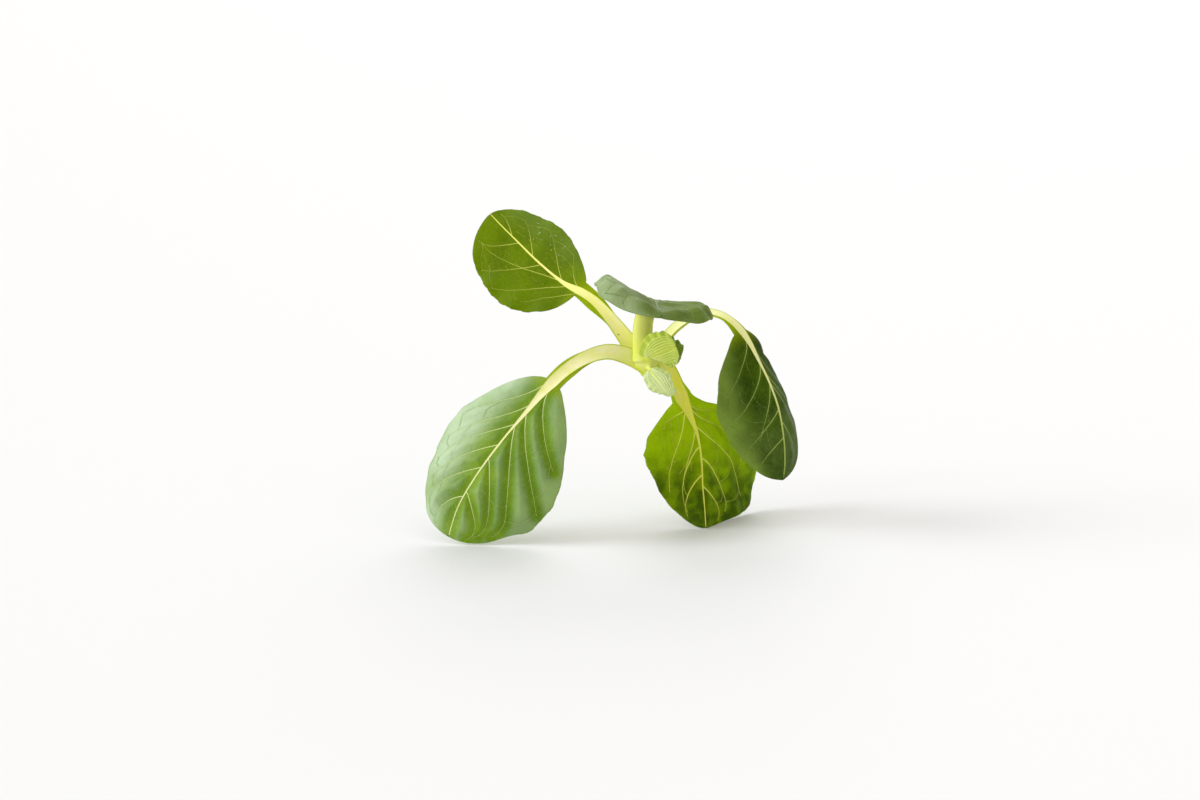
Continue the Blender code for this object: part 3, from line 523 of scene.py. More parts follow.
def makeStalk(leaf, line, making):
    # The pale stalk and the midrib that it narrows to: a channel above and a round back below
    s = np.arange(0.0, line.length * 0.992, making["stalkStep"])
    u = bladeShare(leaf, line, s)
    half = ribHalf(leaf, line, s)
    drop = -making["swellDrop"] * leaf["bulge"] * swellShare(u)
    baseDepth = making["depthShare"] * leaf["baseHalfWidth"]
    neckDepth, tipDepth = 0.62 * baseDepth, 0.34
    onStalk = baseDepth * (1 - 0.38 * np.clip(s / (leaf["neck"] * line.length), 0, 1))
    depth = np.where(u <= 0, onStalk, neckDepth + (tipDepth - neckDepth) * np.clip(u, 0, 1) ** 0.6)
    rim = 0.24 + 0.12 * np.clip(half / 1.2, 0, 1)
    channel = 0.42 * np.clip(half / leaf["baseHalfWidth"], 0.12, 1)
    top = np.linspace(-1, 1, making["topPoints"])
    turn = np.linspace(0, math.pi, making["backPoints"] + 2)[1:-1]
    section = 1 - top**2 + 0.06 * np.cos(9 * math.pi * top)  # the channel's hollow, with fine ridges in it
    lift = rim[:, None] - channel[:, None] * section
    back = rim[:, None] - (depth + rim)[:, None] * np.sin(turn) ** 0.85
    sideways = np.concatenate([half[:, None] * top, half[:, None] * np.cos(turn)], 1)
    rise = np.concatenate([lift, back], 1) + drop[:, None]
    _, across, facing = line.read(s)
    middle = surfaceAt(leaf, line, s, driftOf(leaf, u))
    rings = middle[:, None] + sideways[..., None] * across[:, None] + rise[..., None] * facing[:, None]
    points, faces = tubeBody(rings)
    count = len(s)

    def everyRing(topValues, backValues):
        # Values for the points of each ring, then for the two end points
        grid = np.tile(np.concatenate([topValues, backValues]), count)
        return np.concatenate([grid, [grid[0], grid[-1]]])

    def everyPoint(values):
        grid = np.repeat(values, sideways.shape[1])
        return np.concatenate([grid, [grid[0], grid[-1]]])

    fields = {"acrossStalk": everyRing(top, np.cos(turn)),
              "below": everyRing(np.zeros(len(top)), np.sin(turn)),
              "alongBlade": everyPoint(u), "fromCrown": everyPoint(s)}
    girth = np.cumsum(np.abs(np.diff(np.concatenate([top[:1], top, 1 + turn]))))
    uv = np.stack([everyPoint(half) * everyRing(girth[:len(top)], girth[len(top):]), everyPoint(s)], -1)
    return finishMesh("stalk" + leaf["name"], points, faces, fields, uv)


# Geometry Nodes

def nodeTree(name, sockets):
    # A geometry tree with a geometry input, the named inputs given, and a geometry output
    tree = bpy.data.node_groups.new(name, "GeometryNodeTree")
    tree.interface.new_socket("Geometry", in_out="INPUT", socket_type="NodeSocketGeometry")
    for label, kind, value in sockets:
        socket = tree.interface.new_socket(label, in_out="INPUT", socket_type=kind)
        if value is not None:
            socket.default_value = value
    tree.interface.new_socket("Geometry", in_out="OUTPUT", socket_type="NodeSocketGeometry")
    return tree


def addNode(tree, kind, inputs=None, **settings):
    node = tree.nodes.new(kind)
    for key, value in settings.items():
        setattr(node, key, value)
    for key, value in (inputs or {}).items():
        if isinstance(value, bpy.types.NodeSocket):
            tree.links.new(value, node.inputs[key])
        else:
            node.inputs[key].default_value = value
    return node


def endTree(tree, geometry, finish):
    # The last steps of both trees
    smooth = addNode(tree, "GeometryNodeSetShadeSmooth", {"Geometry": geometry})
    real = addNode(tree, "GeometryNodeRealizeInstances", {"Geometry": smooth.outputs["Geometry"]})
    values = {"Geometry": real.outputs["Geometry"], "Material": finish}
    done = addNode(tree, "GeometryNodeSetMaterial", values)
    addNode(tree, "NodeGroupOutput", {"Geometry": done.outputs["Geometry"]})
    return tree


def veinTree():
    # Turns paths into tapered round ribs
    tree = nodeTree("raised veins", [
        ("Width Scale", "NodeSocketFloat", 1.0), ("Sides", "NodeSocketInt", 8),
        ("Finish", "NodeSocketMaterial", None)])
    given = addNode(tree, "NodeGroupInput").outputs
    size = addNode(tree, "GeometryNodeInputNamedAttribute", {"Name": "ribSize"}, data_type="FLOAT")
    radius = times(tree, size.outputs["Attribute"], given["Width Scale"])
    paths = addNode(tree, "GeometryNodeMeshToCurve", {"Mesh": given["Geometry"]})
    values = {"Resolution": given["Sides"], "Radius": 1.0}
    circle = addNode(tree, "GeometryNodeCurvePrimitiveCircle", values)
    ribs = addNode(tree, "GeometryNodeCurveToMesh", {"Curve": paths.outputs["Curve"], "Scale": radius,
                                                     "Profile Curve": circle.outputs["Curve"],
                                                     "Fill Caps": True})
    return endTree(tree, ribs.outputs["Mesh"], given["Finish"])


def runTree(name, mesh, tree, values):
    # Runs a tree on a mesh and keeps the result as a plain mesh object
    source = addObject(name, mesh)
    modifier = source.modifiers.new(tree.name, "NODES")
    modifier.node_group = tree
    for item in tree.interface.items_tree:
        if item.in_out == "INPUT" and item.name in values:
            modifier[item.identifier] = values[item.name]
    plain = plainMesh(source)
    plain.name = name
    return addObject(name, plain)


def plainMesh(source):
    # The mesh that an object's modifiers make. The object itself is removed.
    bpy.context.view_layer.update()
    graph = bpy.context.evaluated_depsgraph_get()
    mesh = bpy.data.meshes.new_from_object(source.evaluated_get(graph))
    source.modifiers.clear()
    bpy.data.objects.remove(source)
    return mesh


def pathMesh(name, paths):
    # Loose edges that follow each path, with a rib size for every point
    points, edges, sizes, tones = [], [], [], []
    for path, size, tone in paths:
        first = sum(len(p) for p in points)
        points.append((path + plantShift) * mm)
        sizes.append(size * mm)
        tones.append(tone)
        edges += [(first + k, first + k + 1) for k in range(len(path) - 1)]
    mesh = bpy.data.meshes.new(name)
    mesh.from_pydata(np.vstack(points).tolist(), edges, [])
    giveField(mesh, "ribSize", np.concatenate(sizes))
    giveField(mesh, "ribTone", np.concatenate(tones))
    return mesh


def surfaceRise(leaf, line, s, x, veins, making, step=0.05):
    # The middle surface at these places, how far the panels lift it, and the way its upper face looks
    here = surfaceAt(leaf, line, s, x)
    sideways = surfaceAt(leaf, line, s, x + step) - here
    onwards = surfaceAt(leaf, line, s + step, x) - here
    normal = unit(np.cross(sideways, onwards))
    far = nearestVein([v for v in veins if v["main"]], s, x)[2]
    swell = panelSwell(leaf, making, far) - making["swellDrop"] * leaf["bulge"]
    return here, swell * swellShare(bladeShare(leaf, line, s)), normal


def makeVeins(leaf, line, veins, finish, making):
    # Raised ribs on the lower face, and fine pale ones in the grooves of the upper face
    paths = []
    half = 0.5 * making["bladeThickness"]
    for v in veins:
        middle, rise, normal = surfaceRise(leaf, line, v["s"], v["x"], veins, making)
        below = middle + normal * (rise - half - making["ridgeHeight"] * 0.9)[:, None]
        above = middle + normal * (rise + half - making["grooveDepth"] + 0.02)[:, None]
        aboveHalf = np.maximum(v["half"] * leaf["raisedAbove"], making["thinnestRib"])
        paths.append((below, v["half"] * making["belowShare"], v["tone"] * 0.6))
        paths.append((above, aboveHalf, v["tone"] ** 0.6))
    values = {"Width Scale": 1.0, "Sides": making["ribSides"], "Finish": finish}
    return runTree("veins" + leaf["name"], pathMesh("paths" + leaf["name"], paths), ribTree, values)


# Finishes

def newFinish(name):
    made = bpy.data.materials.new(name)
    made.use_nodes = True
    made.node_tree.nodes.clear()
    return made, made.node_tree


def field(tree, name):
    return addNode(tree, "ShaderNodeAttribute", attribute_name=name).outputs["Fac"]


def between(tree, value, low, high, toLow=0.0, toHigh=1.0):
    values = {"Value": value, "From Min": low, "From Max": high, "To Min": toLow, "To Max": toHigh}
    return addNode(tree, "ShaderNodeMapRange", values, interpolation_type="SMOOTHSTEP").outputs["Result"]


def blend(tree, share, first, second):
    colours = [c if isinstance(c, bpy.types.NodeSocket) else (*c, 1.0) for c in (first, second)]
    values = {"Factor": share, 6: colours[0], 7: colours[1]}
    return addNode(tree, "ShaderNodeMix", values, data_type="RGBA").outputs[2]


def maths(tree, operation, first, second=0.5):
    return addNode(tree, "ShaderNodeMath", {0: first, 1: second}, operation=operation).outputs[0]


def times(tree, first, second):
    return maths(tree, "MULTIPLY", first, second)


def noise(tree, vector, scale, detail=2.0):
    values = {"Vector": vector, "Scale": scale, "Detail": detail}
    return addNode(tree, "ShaderNodeTexNoise", values).outputs[0]


def cells(tree, vector, scale):
    # The distance to the nearest edge in a net of cells
    values = {"Vector": vector, "Scale": scale}
    return addNode(tree, "ShaderNodeTexVoronoi", values, feature="DISTANCE_TO_EDGE").outputs["Distance"]


def objectPlace(tree):
    return addNode(tree, "ShaderNodeTexCoord").outputs["Object"]


def bumped(tree, strength, height, distance=0.00012):
    values = {"Strength": strength, "Distance": distance, "Height": height}
    return addNode(tree, "ShaderNodeBump", values).outputs["Normal"]


def closeFinish(tree, surface, glow, seeThrough):
    # A surface that lets some light through, from the inputs of its two shaders
    outer = addNode(tree, "ShaderNodeBsdfPrincipled", surface).outputs[0]
    through = addNode(tree, "ShaderNodeBsdfTranslucent", glow).outputs[0]
    mix = addNode(tree, "ShaderNodeMixShader", {0: seeThrough, 1: outer, 2: through})
    addNode(tree, "ShaderNodeOutputMaterial", {"Surface": mix.outputs[0]})


def leafFinish(name, look):
    made, tree = newFinish(name)
    place = objectPlace(tree)
    plan = addNode(tree, "ShaderNodeUVMap", uv_map="leafPlan").outputs["UV"]
    along = field(tree, "alongBlade")
    near = field(tree, "veinNear")
    tone = field(tree, "veinTone")
    pale = times(tree, times(tree, between(tree, near, 1.35, 0.7), tone), 0.15)
    halo = times(tree, between(tree, near, 6.0, 1.0), tone)
    mottle = noise(tree, place, 130.0, 3.0)

    # The net of smallest veins, bent a little
    bend = addNode(tree, "ShaderNodeTexNoise", {"Vector": plan, "Scale": 60.0}).outputs["Color"]
    for values, operation in (({1: (0.5, 0.5, 0.5)}, "SUBTRACT"),
                              ({1: (0.006, 0.006, 0.0), 2: plan}, "MULTIPLY_ADD")):
        bend = addNode(tree, "ShaderNodeVectorMath", {0: bend, **values}, operation=operation).outputs[0]
    coarse = cells(tree, bend, 62.0)
    fine = cells(tree, bend, 190.0)
    net = maths(tree, "MAXIMUM", between(tree, coarse, 0.07, 0.01, 0, 0.55),
                between(tree, fine, 0.09, 0.01, 0, 0.28))

    # Painted shade towards the blade's tip (on the right leaf its colour is lighter, a painted sheen), and a
    # painted sheen on the side of the blade that faces the light and on the panels' crests
    depth = times(tree, between(tree, along, 0.35, 0.8),
                  between(tree, noise(tree, place, 300.0), 0.3, 0.65, 0.35, 1.0))
    depth = times(tree, depth, look["shadeShare"])
    paintedSheen = times(tree, between(tree, field(tree, "sideShare"), look["sheenFrom"], look["sheenTo"]),
                between(tree, noise(tree, place, 95.0, 3.0), 0.3, 0.65, 0.55, 1.0))
    paintedSheen = times(tree, paintedSheen, between(tree, field(tree, "ribGap"), 0.5, 8.0, 0.1, look["sheenShare"]))
    paintedSheen = maths(tree, "MAXIMUM", paintedSheen, between(tree, field(tree, "panel"), 0.7, 3.2, 0.0, look["crestSheenShare"]))

    # Each step lays a colour over the ones before it
    tissue = blend(tree, between(tree, mottle, 0.3, 0.7), look["deep"], look["light"])
    layers = [
        # painted shade towards the tip
        (depth, look["shade"]),
        (times(tree, net, look["netShare"]), look["vein"]),
        # painted sheen on the lit side and the panels' crests
        (paintedSheen, look["paintedSheen"]),
        (times(tree, halo, look["haloShare"]), look["halo"]),
        (between(tree, field(tree, "edgeShare"), 0.955, 1.0, 0.0, look["edgeShare"]), look["edge"]),
        (between(tree, along, 0.12, -0.1), look["wing"]),
        (pale, look["vein"]),
    ]
    for share, colour in layers:
        tissue = blend(tree, share, tissue, colour)
    under = blend(tree, 0.55, tissue, look["under"])
    tissue = blend(tree, between(tree, field(tree, "upperFace"), 0.6, 0.4), tissue, under)
    height = maths(tree, "ADD", times(tree, between(tree, coarse, 0.0, 0.18), 0.6),
                   times(tree, between(tree, fine, 0.0, 0.2), 0.35))
    height = maths(tree, "ADD", height, times(tree, noise(tree, place, 2600.0), 0.35))
    normal = bumped(tree, look["bump"], height)
    # The light let through takes the painted shade colour too
    through = blend(tree, pale, blend(tree, depth, look["glow"], look["shade"]), look["veinGlow"])
    surface = {"Base Color": tissue, "Roughness": between(tree, mottle, 0.25, 0.75, *look["gloss"]),
               "Normal": normal, "Specular IOR Level": look["shine"]}
    closeFinish(tree, surface, {"Color": through, "Normal": normal}, look["seeThrough"])
    return made


def stalkFinish(name, look):
    made, tree = newFinish(name)
    place = objectPlace(tree)
    plan = addNode(tree, "ShaderNodeUVMap", uv_map="leafPlan").outputs["UV"]
    stretched = addNode(tree, "ShaderNodeMapping", {"Vector": plan, "Scale": (1.0, 0.03, 1.0)}).outputs[0]
    streak = noise(tree, stretched, 420.0, 3.0)
    mottle = noise(tree, place, 220.0, 3.0)
    side = maths(tree, "ABSOLUTE", field(tree, "acrossStalk"))
    fade = between(tree, field(tree, "alongBlade"), look["tipFrom"], look["tipFrom"] + look["tipOver"])
    tissue = blend(tree, between(tree, mottle, 0.3, 0.7), look["middle"], look["warm"])
    layers = [
        (between(tree, streak, 0.5, 0.72, 0.0, 0.5), look["streak"]),
        (between(tree, side, look["rimStart"], 1.0), look["rim"]),
        (between(tree, field(tree, "below"), 0.1, 0.6), look["back"]),
        (fade, look["tip"]),
        (between(tree, field(tree, "fromCrown"), 9.0, 1.0, 0.0, 0.8), look["base"]),
    ]
    for share, colour in layers:
        tissue = blend(tree, share, tissue, colour)
    height = maths(tree, "ADD", streak, times(tree, noise(tree, place, 2400.0), 0.2))
    normal = bumped(tree, 0.35, height)
    surface = {"Base Color": tissue, "Roughness": between(tree, mottle, 0.2, 0.8, 0.32, 0.46),
               "Specular IOR Level": look["shine"], "Normal": normal}
    closeFinish(tree, surface, {"Color": (*look["glow"], 1.0), "Normal": normal}, look["seeThrough"])
    return made


def ribFinish(name, look):
    # For the raised veins, which have no plan of their own
    made, tree = newFinish(name)
    mottle = noise(tree, objectPlace(tree), 400.0)
    dull = blend(tree, between(tree, mottle, 0.3, 0.7), look["light"], look["halo"])
    tissue = blend(tree, field(tree, "ribTone"), dull, look["vein"])
    surface = {"Base Color": tissue, "Roughness": between(tree, mottle, 0.2, 0.8, 0.34, 0.5),
               "Specular IOR Level": look["shine"]}
    closeFinish(tree, surface, {"Color": (*look["veinGlow"], 1.0)}, look["ribSeeThrough"])
    return made


# Each look sets its leaf's painted shade and painted sheen: a shade colour for towards the tip, and a sheen
# colour with the side range and shares where it lies, on the lit side and on the panels' crests
baseLook = {
    "deep": (0.1, 0.17, 0.002), "light": (0.14, 0.23, 0.004), "vein": (0.58, 0.66, 0.08),
    "halo": (0.2, 0.3, 0.012), "under": (0.2, 0.3, 0.08), "edge": (0.22, 0.32, 0.03),
    "wing": (0.36, 0.48, 0.004), "glow": (0.52, 0.7, 0.002), "veinGlow": (0.85, 0.9, 0.12),
    "shade": (0.1, 0.17, 0.002), "shadeShare": 0.0, "netShare": 0.16, "haloShare": 0.35, "edgeShare": 0.3,
    "paintedSheen": (0.2, 0.3, 0.1), "sheenFrom": 0.1, "sheenTo": 0.8, "sheenShare": 0.0, "crestSheenShare": 0.0,
    "bump": 0.5, "gloss": (0.36, 0.5), "shine": 0.2, "seeThrough": 0.3, "ribSeeThrough": 0.12,
}
leafLooks = {
    "UpperLeft": {"deep": (0.105, 0.165, 0.0), "light": (0.15, 0.23, 0.0), "vein": (0.8, 0.82, 0.16),
                  "netShare": 0.08, "haloShare": 0.2, "edgeShare": 0.1, "shine": 0.05,
                  "paintedSheen": (0.2, 0.29, 0.06), "sheenFrom": -0.1, "sheenShare": 0.6},
    "LowerLeft": {"deep": (0.125, 0.245, 0.0), "light": (0.215, 0.36, 0.008), "vein": (0.78, 0.9, 0.42),
                  "shine": 0.15, "gloss": (0.34, 0.44), "glow": (0.45, 0.7, 0.01), "seeThrough": 0.2,
                  "paintedSheen": (0.62, 0.77, 0.54), "sheenFrom": -0.1, "sheenTo": 0.75, "sheenShare": 0.9,
                  "netShare": 0.1, "crestSheenShare": 0.3},
    "Top": {"deep": (0.1, 0.155, 0.015), "light": (0.14, 0.215, 0.03), "vein": (0.34, 0.45, 0.2),
            "seeThrough": 0.12, "shine": 0.1, "gloss": (0.5, 0.62),
            "paintedSheen": (0.42, 0.54, 0.3), "sheenFrom": 0.0, "sheenTo": 0.85, "sheenShare": 0.8},
    # This leaf's shade colour is lighter than its blade: it paints a lighter sheen towards the tip
    "Right": {"deep": (0.018, 0.045, 0.0), "light": (0.05, 0.1, 0.0), "vein": (0.45, 0.57, 0.16),
              "halo": (0.13, 0.21, 0.015), "seeThrough": 0.15, "glow": (0.3, 0.5, 0.002), "shine": 0.04,
              "paintedSheen": (0.22, 0.33, 0.05), "sheenFrom": 0.35, "sheenTo": 0.95, "sheenShare": 0.95, "netShare": 0.12,
              "shade": (0.11, 0.18, 0.03), "shadeShare": 0.6},
    "LowerRight": {"deep": (0.1, 0.15, 0.0), "light": (0.19, 0.27, 0.0), "glow": (0.74, 0.93, 0.0),
                   "vein": (0.92, 0.97, 0.16), "veinGlow": (0.98, 0.98, 0.16), "halo": (0.5, 0.64, 0.002),
                   "shade": (0.04, 0.105, 0.0), "shadeShare": 0.8, "seeThrough": 0.52, "shine": 0.05},
    "HeartUpper": {"deep": (0.6, 0.74, 0.05), "light": (0.8, 0.92, 0.14), "vein": (0.92, 0.97, 0.45),
                   "halo": (0.7, 0.82, 0.16), "edge": (0.55, 0.68, 0.1), "under": (0.62, 0.76, 0.12),
                   "wing": (0.72, 0.8, 0.1), "glow": (0.85, 0.96, 0.1), "veinGlow": (0.95, 1.0, 0.3),
                   "paintedSheen": (0.86, 0.93, 0.5), "sheenFrom": -0.2, "sheenTo": -0.9, "sheenShare": 0.8,
                   "seeThrough": 0.2},
    "HeartLower": {"deep": (0.6, 0.74, 0.24), "light": (0.78, 0.88, 0.46), "vein": (0.9, 0.95, 0.6),
                   "halo": (0.66, 0.76, 0.28), "edge": (0.45, 0.58, 0.08), "under": (0.64, 0.74, 0.32),
                   "wing": (0.74, 0.8, 0.2), "glow": (0.85, 0.95, 0.3), "veinGlow": (0.95, 1.0, 0.4),
                   "seeThrough": 0.2, "shine": 0.5},
    "HeartBack": {"deep": (0.13, 0.2, 0.004), "light": (0.26, 0.36, 0.01), "vein": (0.5, 0.58, 0.05),
                  "wing": (0.5, 0.6, 0.02)},
}
stalkLook = {
    "middle": (0.9, 0.87, 0.3), "warm": (0.94, 0.88, 0.4), "rim": (0.5, 0.62, 0.01),
    "back": (0.8, 0.82, 0.2), "base": (0.82, 0.86, 0.12), "streak": (0.97, 0.95, 0.66),
    "glow": (0.95, 0.95, 0.16), "rimStart": 0.8, "tip": (0.62, 0.68, 0.1), "tipFrom": 0.2, "tipOver": 0.6,
    "seeThrough": 0.08, "shine": 0.35,
}
stalkLooks = {
    "UpperLeft": {"middle": (0.98, 0.96, 0.26), "warm": (1.0, 0.96, 0.36), "tip": (0.9, 0.9, 0.14)},
    "LowerLeft": {"middle": (0.86, 0.87, 0.26), "warm": (0.99, 0.93, 0.52), "tip": (0.8, 0.86, 0.36)},
    "Top": {"middle": (0.82, 0.83, 0.1), "warm": (0.86, 0.85, 0.16), "tip": (0.15, 0.23, 0.05),
            "tipFrom": -0.2, "tipOver": 0.14, "shine": 0.05},
    "Right": {"middle": (0.95, 0.95, 0.48), "warm": (0.92, 0.93, 0.36), "tip": (0.42, 0.52, 0.1)},
    "LowerRight": {"middle": (0.93, 0.93, 0.05), "warm": (0.97, 0.94, 0.09), "back": (0.72, 0.78, 0.16),
                   "tip": (0.78, 0.8, 0.1)},
    "HeartUpper": {}, "HeartBack": {},
    "HeartLower": {"middle": (0.9, 0.94, 0.62), "tip": (0.84, 0.9, 0.55)},
}

ribTree = veinTree()
for leaf in grownLeaves + youngLeaves:
    name = leaf["name"]
    line = Midline(leaf)
    young = leaf in youngLeaves
    making = youngMaking if young else leafMaking
    veins = veinNetwork(leaf, line)
    look = {**baseLook, **leafLooks[name]}
    blade = makeBlade(leaf, line, veins, making)
    blade.data.materials.append(leafFinish("tissue" + name, look))
    stalk = makeStalk(leaf, line, making)
    stalk.data.materials.append(stalkFinish("stalkSkin" + name, {**stalkLook, **stalkLooks[name]}))
    ribs = makeVeins(leaf, line, veins, ribFinish("veinSkin" + name, look), making)
    slots = ("heart", "heart", "heart") if young else ("blade", "petiole", "petiole")
    for piece, slotName in zip((blade, stalk, ribs), slots):
        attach(piece, "root")
    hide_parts(leaf["nodes"][-1])
    if not young:
        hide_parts(leaf["nodes"][0])
    print(name, "leaf made,", len(blade.data.polygons), len(stalk.data.polygons), len(ribs.data.polygons))

# Pale specks on the upper left leaf, and small dark spots on its stalk. Each area is given by two corners
# on the leaf's plan, in shares along the blade and millimetres across it.

speckSeed = 5
paleSpeckShape = {
    "name": "paleSpecks", "from": (0.30, 3.5), "to": (0.62, 8.0), "count": 16, "size": 0.11, "lift": 0.38,
    "finish": "paleSpeck", "colour": (0.85, 0.9, 0.7), "roughness": 0.4,
}
stalkSpotShape = {
    "name": "stalkSpots", "from": (-0.52, -1.3), "to": (-0.48, -0.6), "count": 2, "size": 0.24, "lift": 0.0,
    "finish": "stalkSpot", "colour": (0.42, 0.38, 0.04), "roughness": 0.6,
}


def speckTree():
    # Puts a small bead of random size on each point
    tree = nodeTree("specks", [("Size", "NodeSocketFloat", 0.0001), ("Seed", "NodeSocketInt", 1),
                               ("Finish", "NodeSocketMaterial", None)])
    given = addNode(tree, "NodeGroupInput").outputs
    points = addNode(tree, "GeometryNodeMeshToPoints", {"Mesh": given["Geometry"]})
    bead = addNode(tree, "GeometryNodeMeshIcoSphere", {"Radius": given["Size"], "Subdivisions": 2})
    size = addNode(tree, "FunctionNodeRandomValue", {"Min": 0.5, "Max": 1.2, "Seed": given["Seed"]},
                   data_type="FLOAT")
    placed = addNode(tree, "GeometryNodeInstanceOnPoints", {
        "Points": points.outputs["Points"], "Instance": bead.outputs["Mesh"], "Scale": size.outputs[1]})
    return endTree(tree, placed.outputs["Instances"], given["Finish"])


def speckFinish(shape):
    made, tree = newFinish(shape["finish"])
    grain = noise(tree, objectPlace(tree), 6000.0)
    tone = blend(tree, between(tree, grain, 0.3, 0.7, 0.0, 0.4), shape["colour"], (0.5, 0.5, 0.3))
    values = {"Base Color": tone, "Roughness": shape["roughness"]}
    surface = addNode(tree, "ShaderNodeBsdfPrincipled", values)
    addNode(tree, "ShaderNodeOutputMaterial", {"Surface": surface.outputs[0]})
    return made


def scatterSpecks(leaf, shape, tree):
    # Beads at seeded places on the leaf
    line = Midline(leaf)
    rng = np.random.default_rng(speckSeed)
    u, x = (rng.uniform(shape["from"][k], shape["to"][k], shape["count"]) for k in (0, 1))
    s = (leaf["neck"] + (1 - leaf["neck"]) * u) * line.length
    places = surfaceAt(leaf, line, s, x) + line.read(s)[2] * shape["lift"]
    mesh = bpy.data.meshes.new("places")
    mesh.from_pydata(((places + plantShift) * mm).tolist(), [], [])
    values = {"Size": shape["size"] * mm, "Seed": speckSeed, "Finish": speckFinish(shape)}
    return runTree(shape["name"], mesh, tree, values)


beadTree = speckTree()
paleSpecks = scatterSpecks(upperLeftLeaf, paleSpeckShape, beadTree)
stalkSpots = scatterSpecks(upperLeftLeaf, stalkSpotShape, beadTree)
for piece, slotName in ((paleSpecks, "blade"), (stalkSpots, "petiole")):
    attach(piece, "root")
print("specks made,", len(paleSpecks.data.polygons), len(stalkSpots.data.polygons))

# The crown: a short stem whose sides run out into each stalk, with the cut face below

crownShape = {
    "radius": 2.9, "cutRadius": 1.3, "bottom": 40.6, "top": 47.4, "sides": 48, "rings": 26,
    "collarLength": 5.0, "collarGrow": 0.3, "collarEnd": -0.4, "collarRings": 18, "collarSides": 28,
    "voxel": 0.28, "smoothing": 10,
}
crownLook = {
    "flesh": (0.74, 0.84, 0.06), "pale": (0.90, 0.92, 0.26), "cut": (0.66, 0.60, 0.30),
    "ring": (0.40, 0.34, 0.12), "glow": (0.90, 0.96, 0.12), "seeThrough": 0.1, "shine": 0.3,
    "cutFrom": 0.0412, "cutTo": 0.0406,
}


def crownPoints():
    c = crownShape
    share = np.linspace(0, 1, c["rings"])
    swell = ease(-0.1, 0.62, share) * (c["radius"] - c["cutRadius"])
    dome = np.sqrt(np.clip(1 - np.clip((share - 0.5) / 0.5, 0, 1) ** 2.6, 0.01, 1))
    radii = (c["cutRadius"] + swell) * dome * (1 - 0.12 * (1 - ease(0, 0.06, share)))
    turn = np.linspace(0, 2 * math.pi, c["sides"], endpoint=False)
    r = radii[:, None] * (1 + 0.05 * np.cos(5 * turn) + 0.02 * np.cos(13 * turn + 1.0))
    z = np.repeat((c["bottom"] + (c["top"] - c["bottom"]) * share)[:, None], c["sides"], 1)
    return np.stack([r * np.cos(turn), r * np.sin(turn), z], -1)


def collarRings(leaf):
    # The first stretch of a stalk, a little thicker, so that it grows out of the crown
    c = crownShape
    line = Midline(leaf)
    s = np.linspace(0, min(c["collarLength"], 0.3 * line.length), c["collarRings"])
    thicker = c["collarGrow"] + (c["collarEnd"] - c["collarGrow"]) * s / s[-1]
    half = ribHalf(leaf, line, s) + thicker
    depth = leafMaking["depthShare"] * leaf["baseHalfWidth"] + thicker
    turn = np.linspace(0, 2 * math.pi, c["collarSides"], endpoint=False)
    point, across, facing = line.read(s)
    top = 0.16 + 2 * thicker
    sideways = half[:, None] * np.cos(turn)
    high = np.where(np.sin(turn) > 0, top[:, None], depth[:, None]) * np.sin(turn)
    return point[:, None] + sideways[..., None] * across[:, None] + high[..., None] * facing[:, None]


def makeCrown():
    # The stem and all collars become one body with soft joints
    bodies = [crownPoints()] + [collarRings(leaf) for leaf in grownLeaves + youngLeaves]
    points, faces = [], []
    for rings in bodies:
        part = finishMesh("crownPart", *tubeBody(rings))
        first = len(points)
        points += [v.co[:] for v in part.data.vertices]
        faces += [[first + k for k in p.vertices] for p in part.data.polygons]
        bpy.data.objects.remove(part)
    merged = bpy.data.meshes.new("crownMerged")
    merged.from_pydata(points, [], faces)
    rough = addObject("crownRough", merged)
    remesh = rough.modifiers.new("one body", "REMESH")
    remesh.mode = "VOXEL"
    remesh.voxel_size = crownShape["voxel"] * mm
    smooth = rough.modifiers.new("soft joints", "SMOOTH")
    smooth.factor = 0.5
    smooth.iterations = crownShape["smoothing"]
    mesh = plainMesh(rough)
    mesh.shade_smooth()
    return addObject("crownStem", mesh)


def crownFinish(look):
    made, tree = newFinish("crownFlesh")
    place = objectPlace(tree)
    height = addNode(tree, "ShaderNodeSeparateXYZ", {"Vector": place}).outputs["Z"]
    mottle = noise(tree, place, 420.0, 3.0)
    stretched = addNode(tree, "ShaderNodeMapping", {"Vector": place, "Scale": (1.0, 1.0, 0.15)}).outputs[0]
    streak = noise(tree, stretched, 1500.0)
    tissue = blend(tree, between(tree, mottle, 0.35, 0.7), look["flesh"], look["pale"])
    tissue = blend(tree, between(tree, streak, 0.5, 0.75, 0.0, 0.45), tissue, look["pale"])
    dots = addNode(tree, "ShaderNodeTexVoronoi", {"Vector": place, "Scale": 900.0}).outputs["Distance"]
    cut = blend(tree, between(tree, dots, 0.35, 0.1), look["cut"], look["ring"])
    tissue = blend(tree, between(tree, height, look["cutFrom"], look["cutTo"]), tissue, cut)
    surface = {"Base Color": tissue, "Roughness": between(tree, mottle, 0.2, 0.8, 0.32, 0.5),
               "Normal": bumped(tree, 0.4, streak), "Specular IOR Level": look["shine"]}
    closeFinish(tree, surface, {"Color": (*look["glow"], 1.0)}, look["seeThrough"])
    return made


crown = makeCrown()
crown.data.materials.append(crownFinish(crownLook))
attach(crown, "root")
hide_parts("crown")
print("crown made,", len(crown.data.polygons))

# The camera, the surface and soft studio light

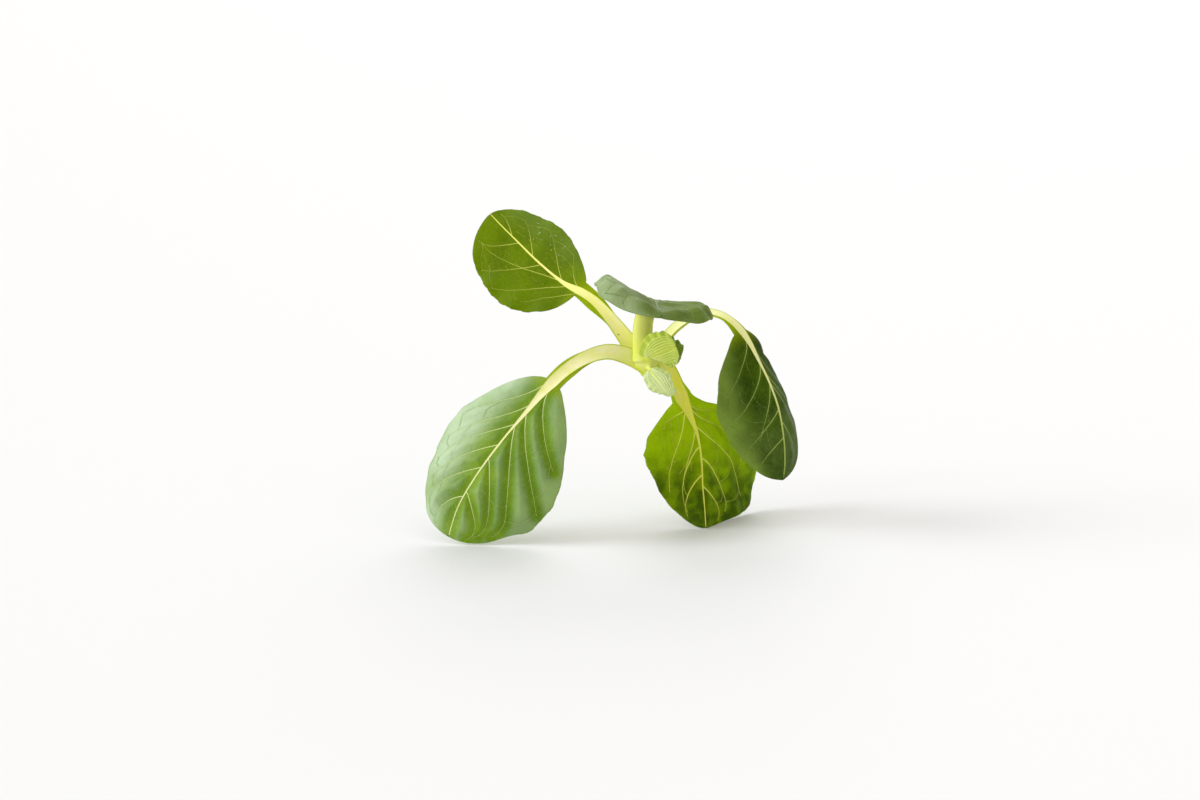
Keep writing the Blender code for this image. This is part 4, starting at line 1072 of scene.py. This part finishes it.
studio = {
    "cameraPlace": (-0.00324, -0.69419, 0.18170), "cameraTilt": 78.0, "lens": 85.0, "sensor": 36.0,
    "world": 0.81, "worldColour": (1.0, 0.955, 0.87),
    "floor": (0.785, 0.79, 0.83), "floorRoughness": 0.7, "floorShine": 0.2, "floorReach": 9,
    "leftFrom": (-0.92, -0.14, 0.50), "leftPower": 1.8, "leftAngle": 30.0, "leftColour": (0.90, 0.97, 1.0),
    "backFrom": (0.10, 0.85, 0.50), "backPower": 1.0, "backAngle": 50.0, "backColour": (1.0, 1.0, 1.0),
}


def softSun(name):
    # Parallel light from one side, with soft-edged shadows
    lamp = bpy.data.lights.new(name, "SUN")
    lamp.angle = math.radians(studio[name + "Angle"])
    lamp.energy = studio[name + "Power"]
    lamp.color = studio[name + "Colour"]
    x, y, z = -np.array(studio[name + "From"])
    addObject(name, lamp).rotation_euler = (math.atan2(math.hypot(x, y), -z), 0, math.atan2(-x, y))


camera = addObject("camera", bpy.data.cameras.new("camera"))
camera.data.lens = studio["lens"]
camera.data.sensor_width = studio["sensor"]
camera.location = studio["cameraPlace"]
camera.rotation_euler = (math.radians(studio["cameraTilt"]), 0, 0)
bpy.context.scene.camera = camera

world = bpy.data.worlds.new("studio")
world.use_nodes = True
background = world.node_tree.nodes["Background"].inputs
background["Color"].default_value = (*studio["worldColour"], 1.0)
background["Strength"].default_value = studio["world"]
bpy.context.scene.world = world
bpy.context.scene.view_settings.view_transform = "Standard"

reach = studio["floorReach"]
floorMesh = bpy.data.meshes.new("floor")
floorCorners = [(-reach, -reach, 0), (reach, -reach, 0), (reach, reach, 0), (-reach, reach, 0)]
floorMesh.from_pydata(floorCorners, [], [(0, 1, 2, 3)])
floor = addObject("floor", floorMesh)
floorSkin, floorTree = newFinish("floorSkin")
floorSurface = addNode(floorTree, "ShaderNodeBsdfPrincipled", {
    "Base Color": (*studio["floor"], 1.0), "Roughness": studio["floorRoughness"],
    "Specular IOR Level": studio["floorShine"]})
addNode(floorTree, "ShaderNodeOutputMaterial", {"Surface": floorSurface.outputs[0]})
floorMesh.materials.append(floorSkin)
softSun("left")
softSun("back")
print("camera, surface and lights made")
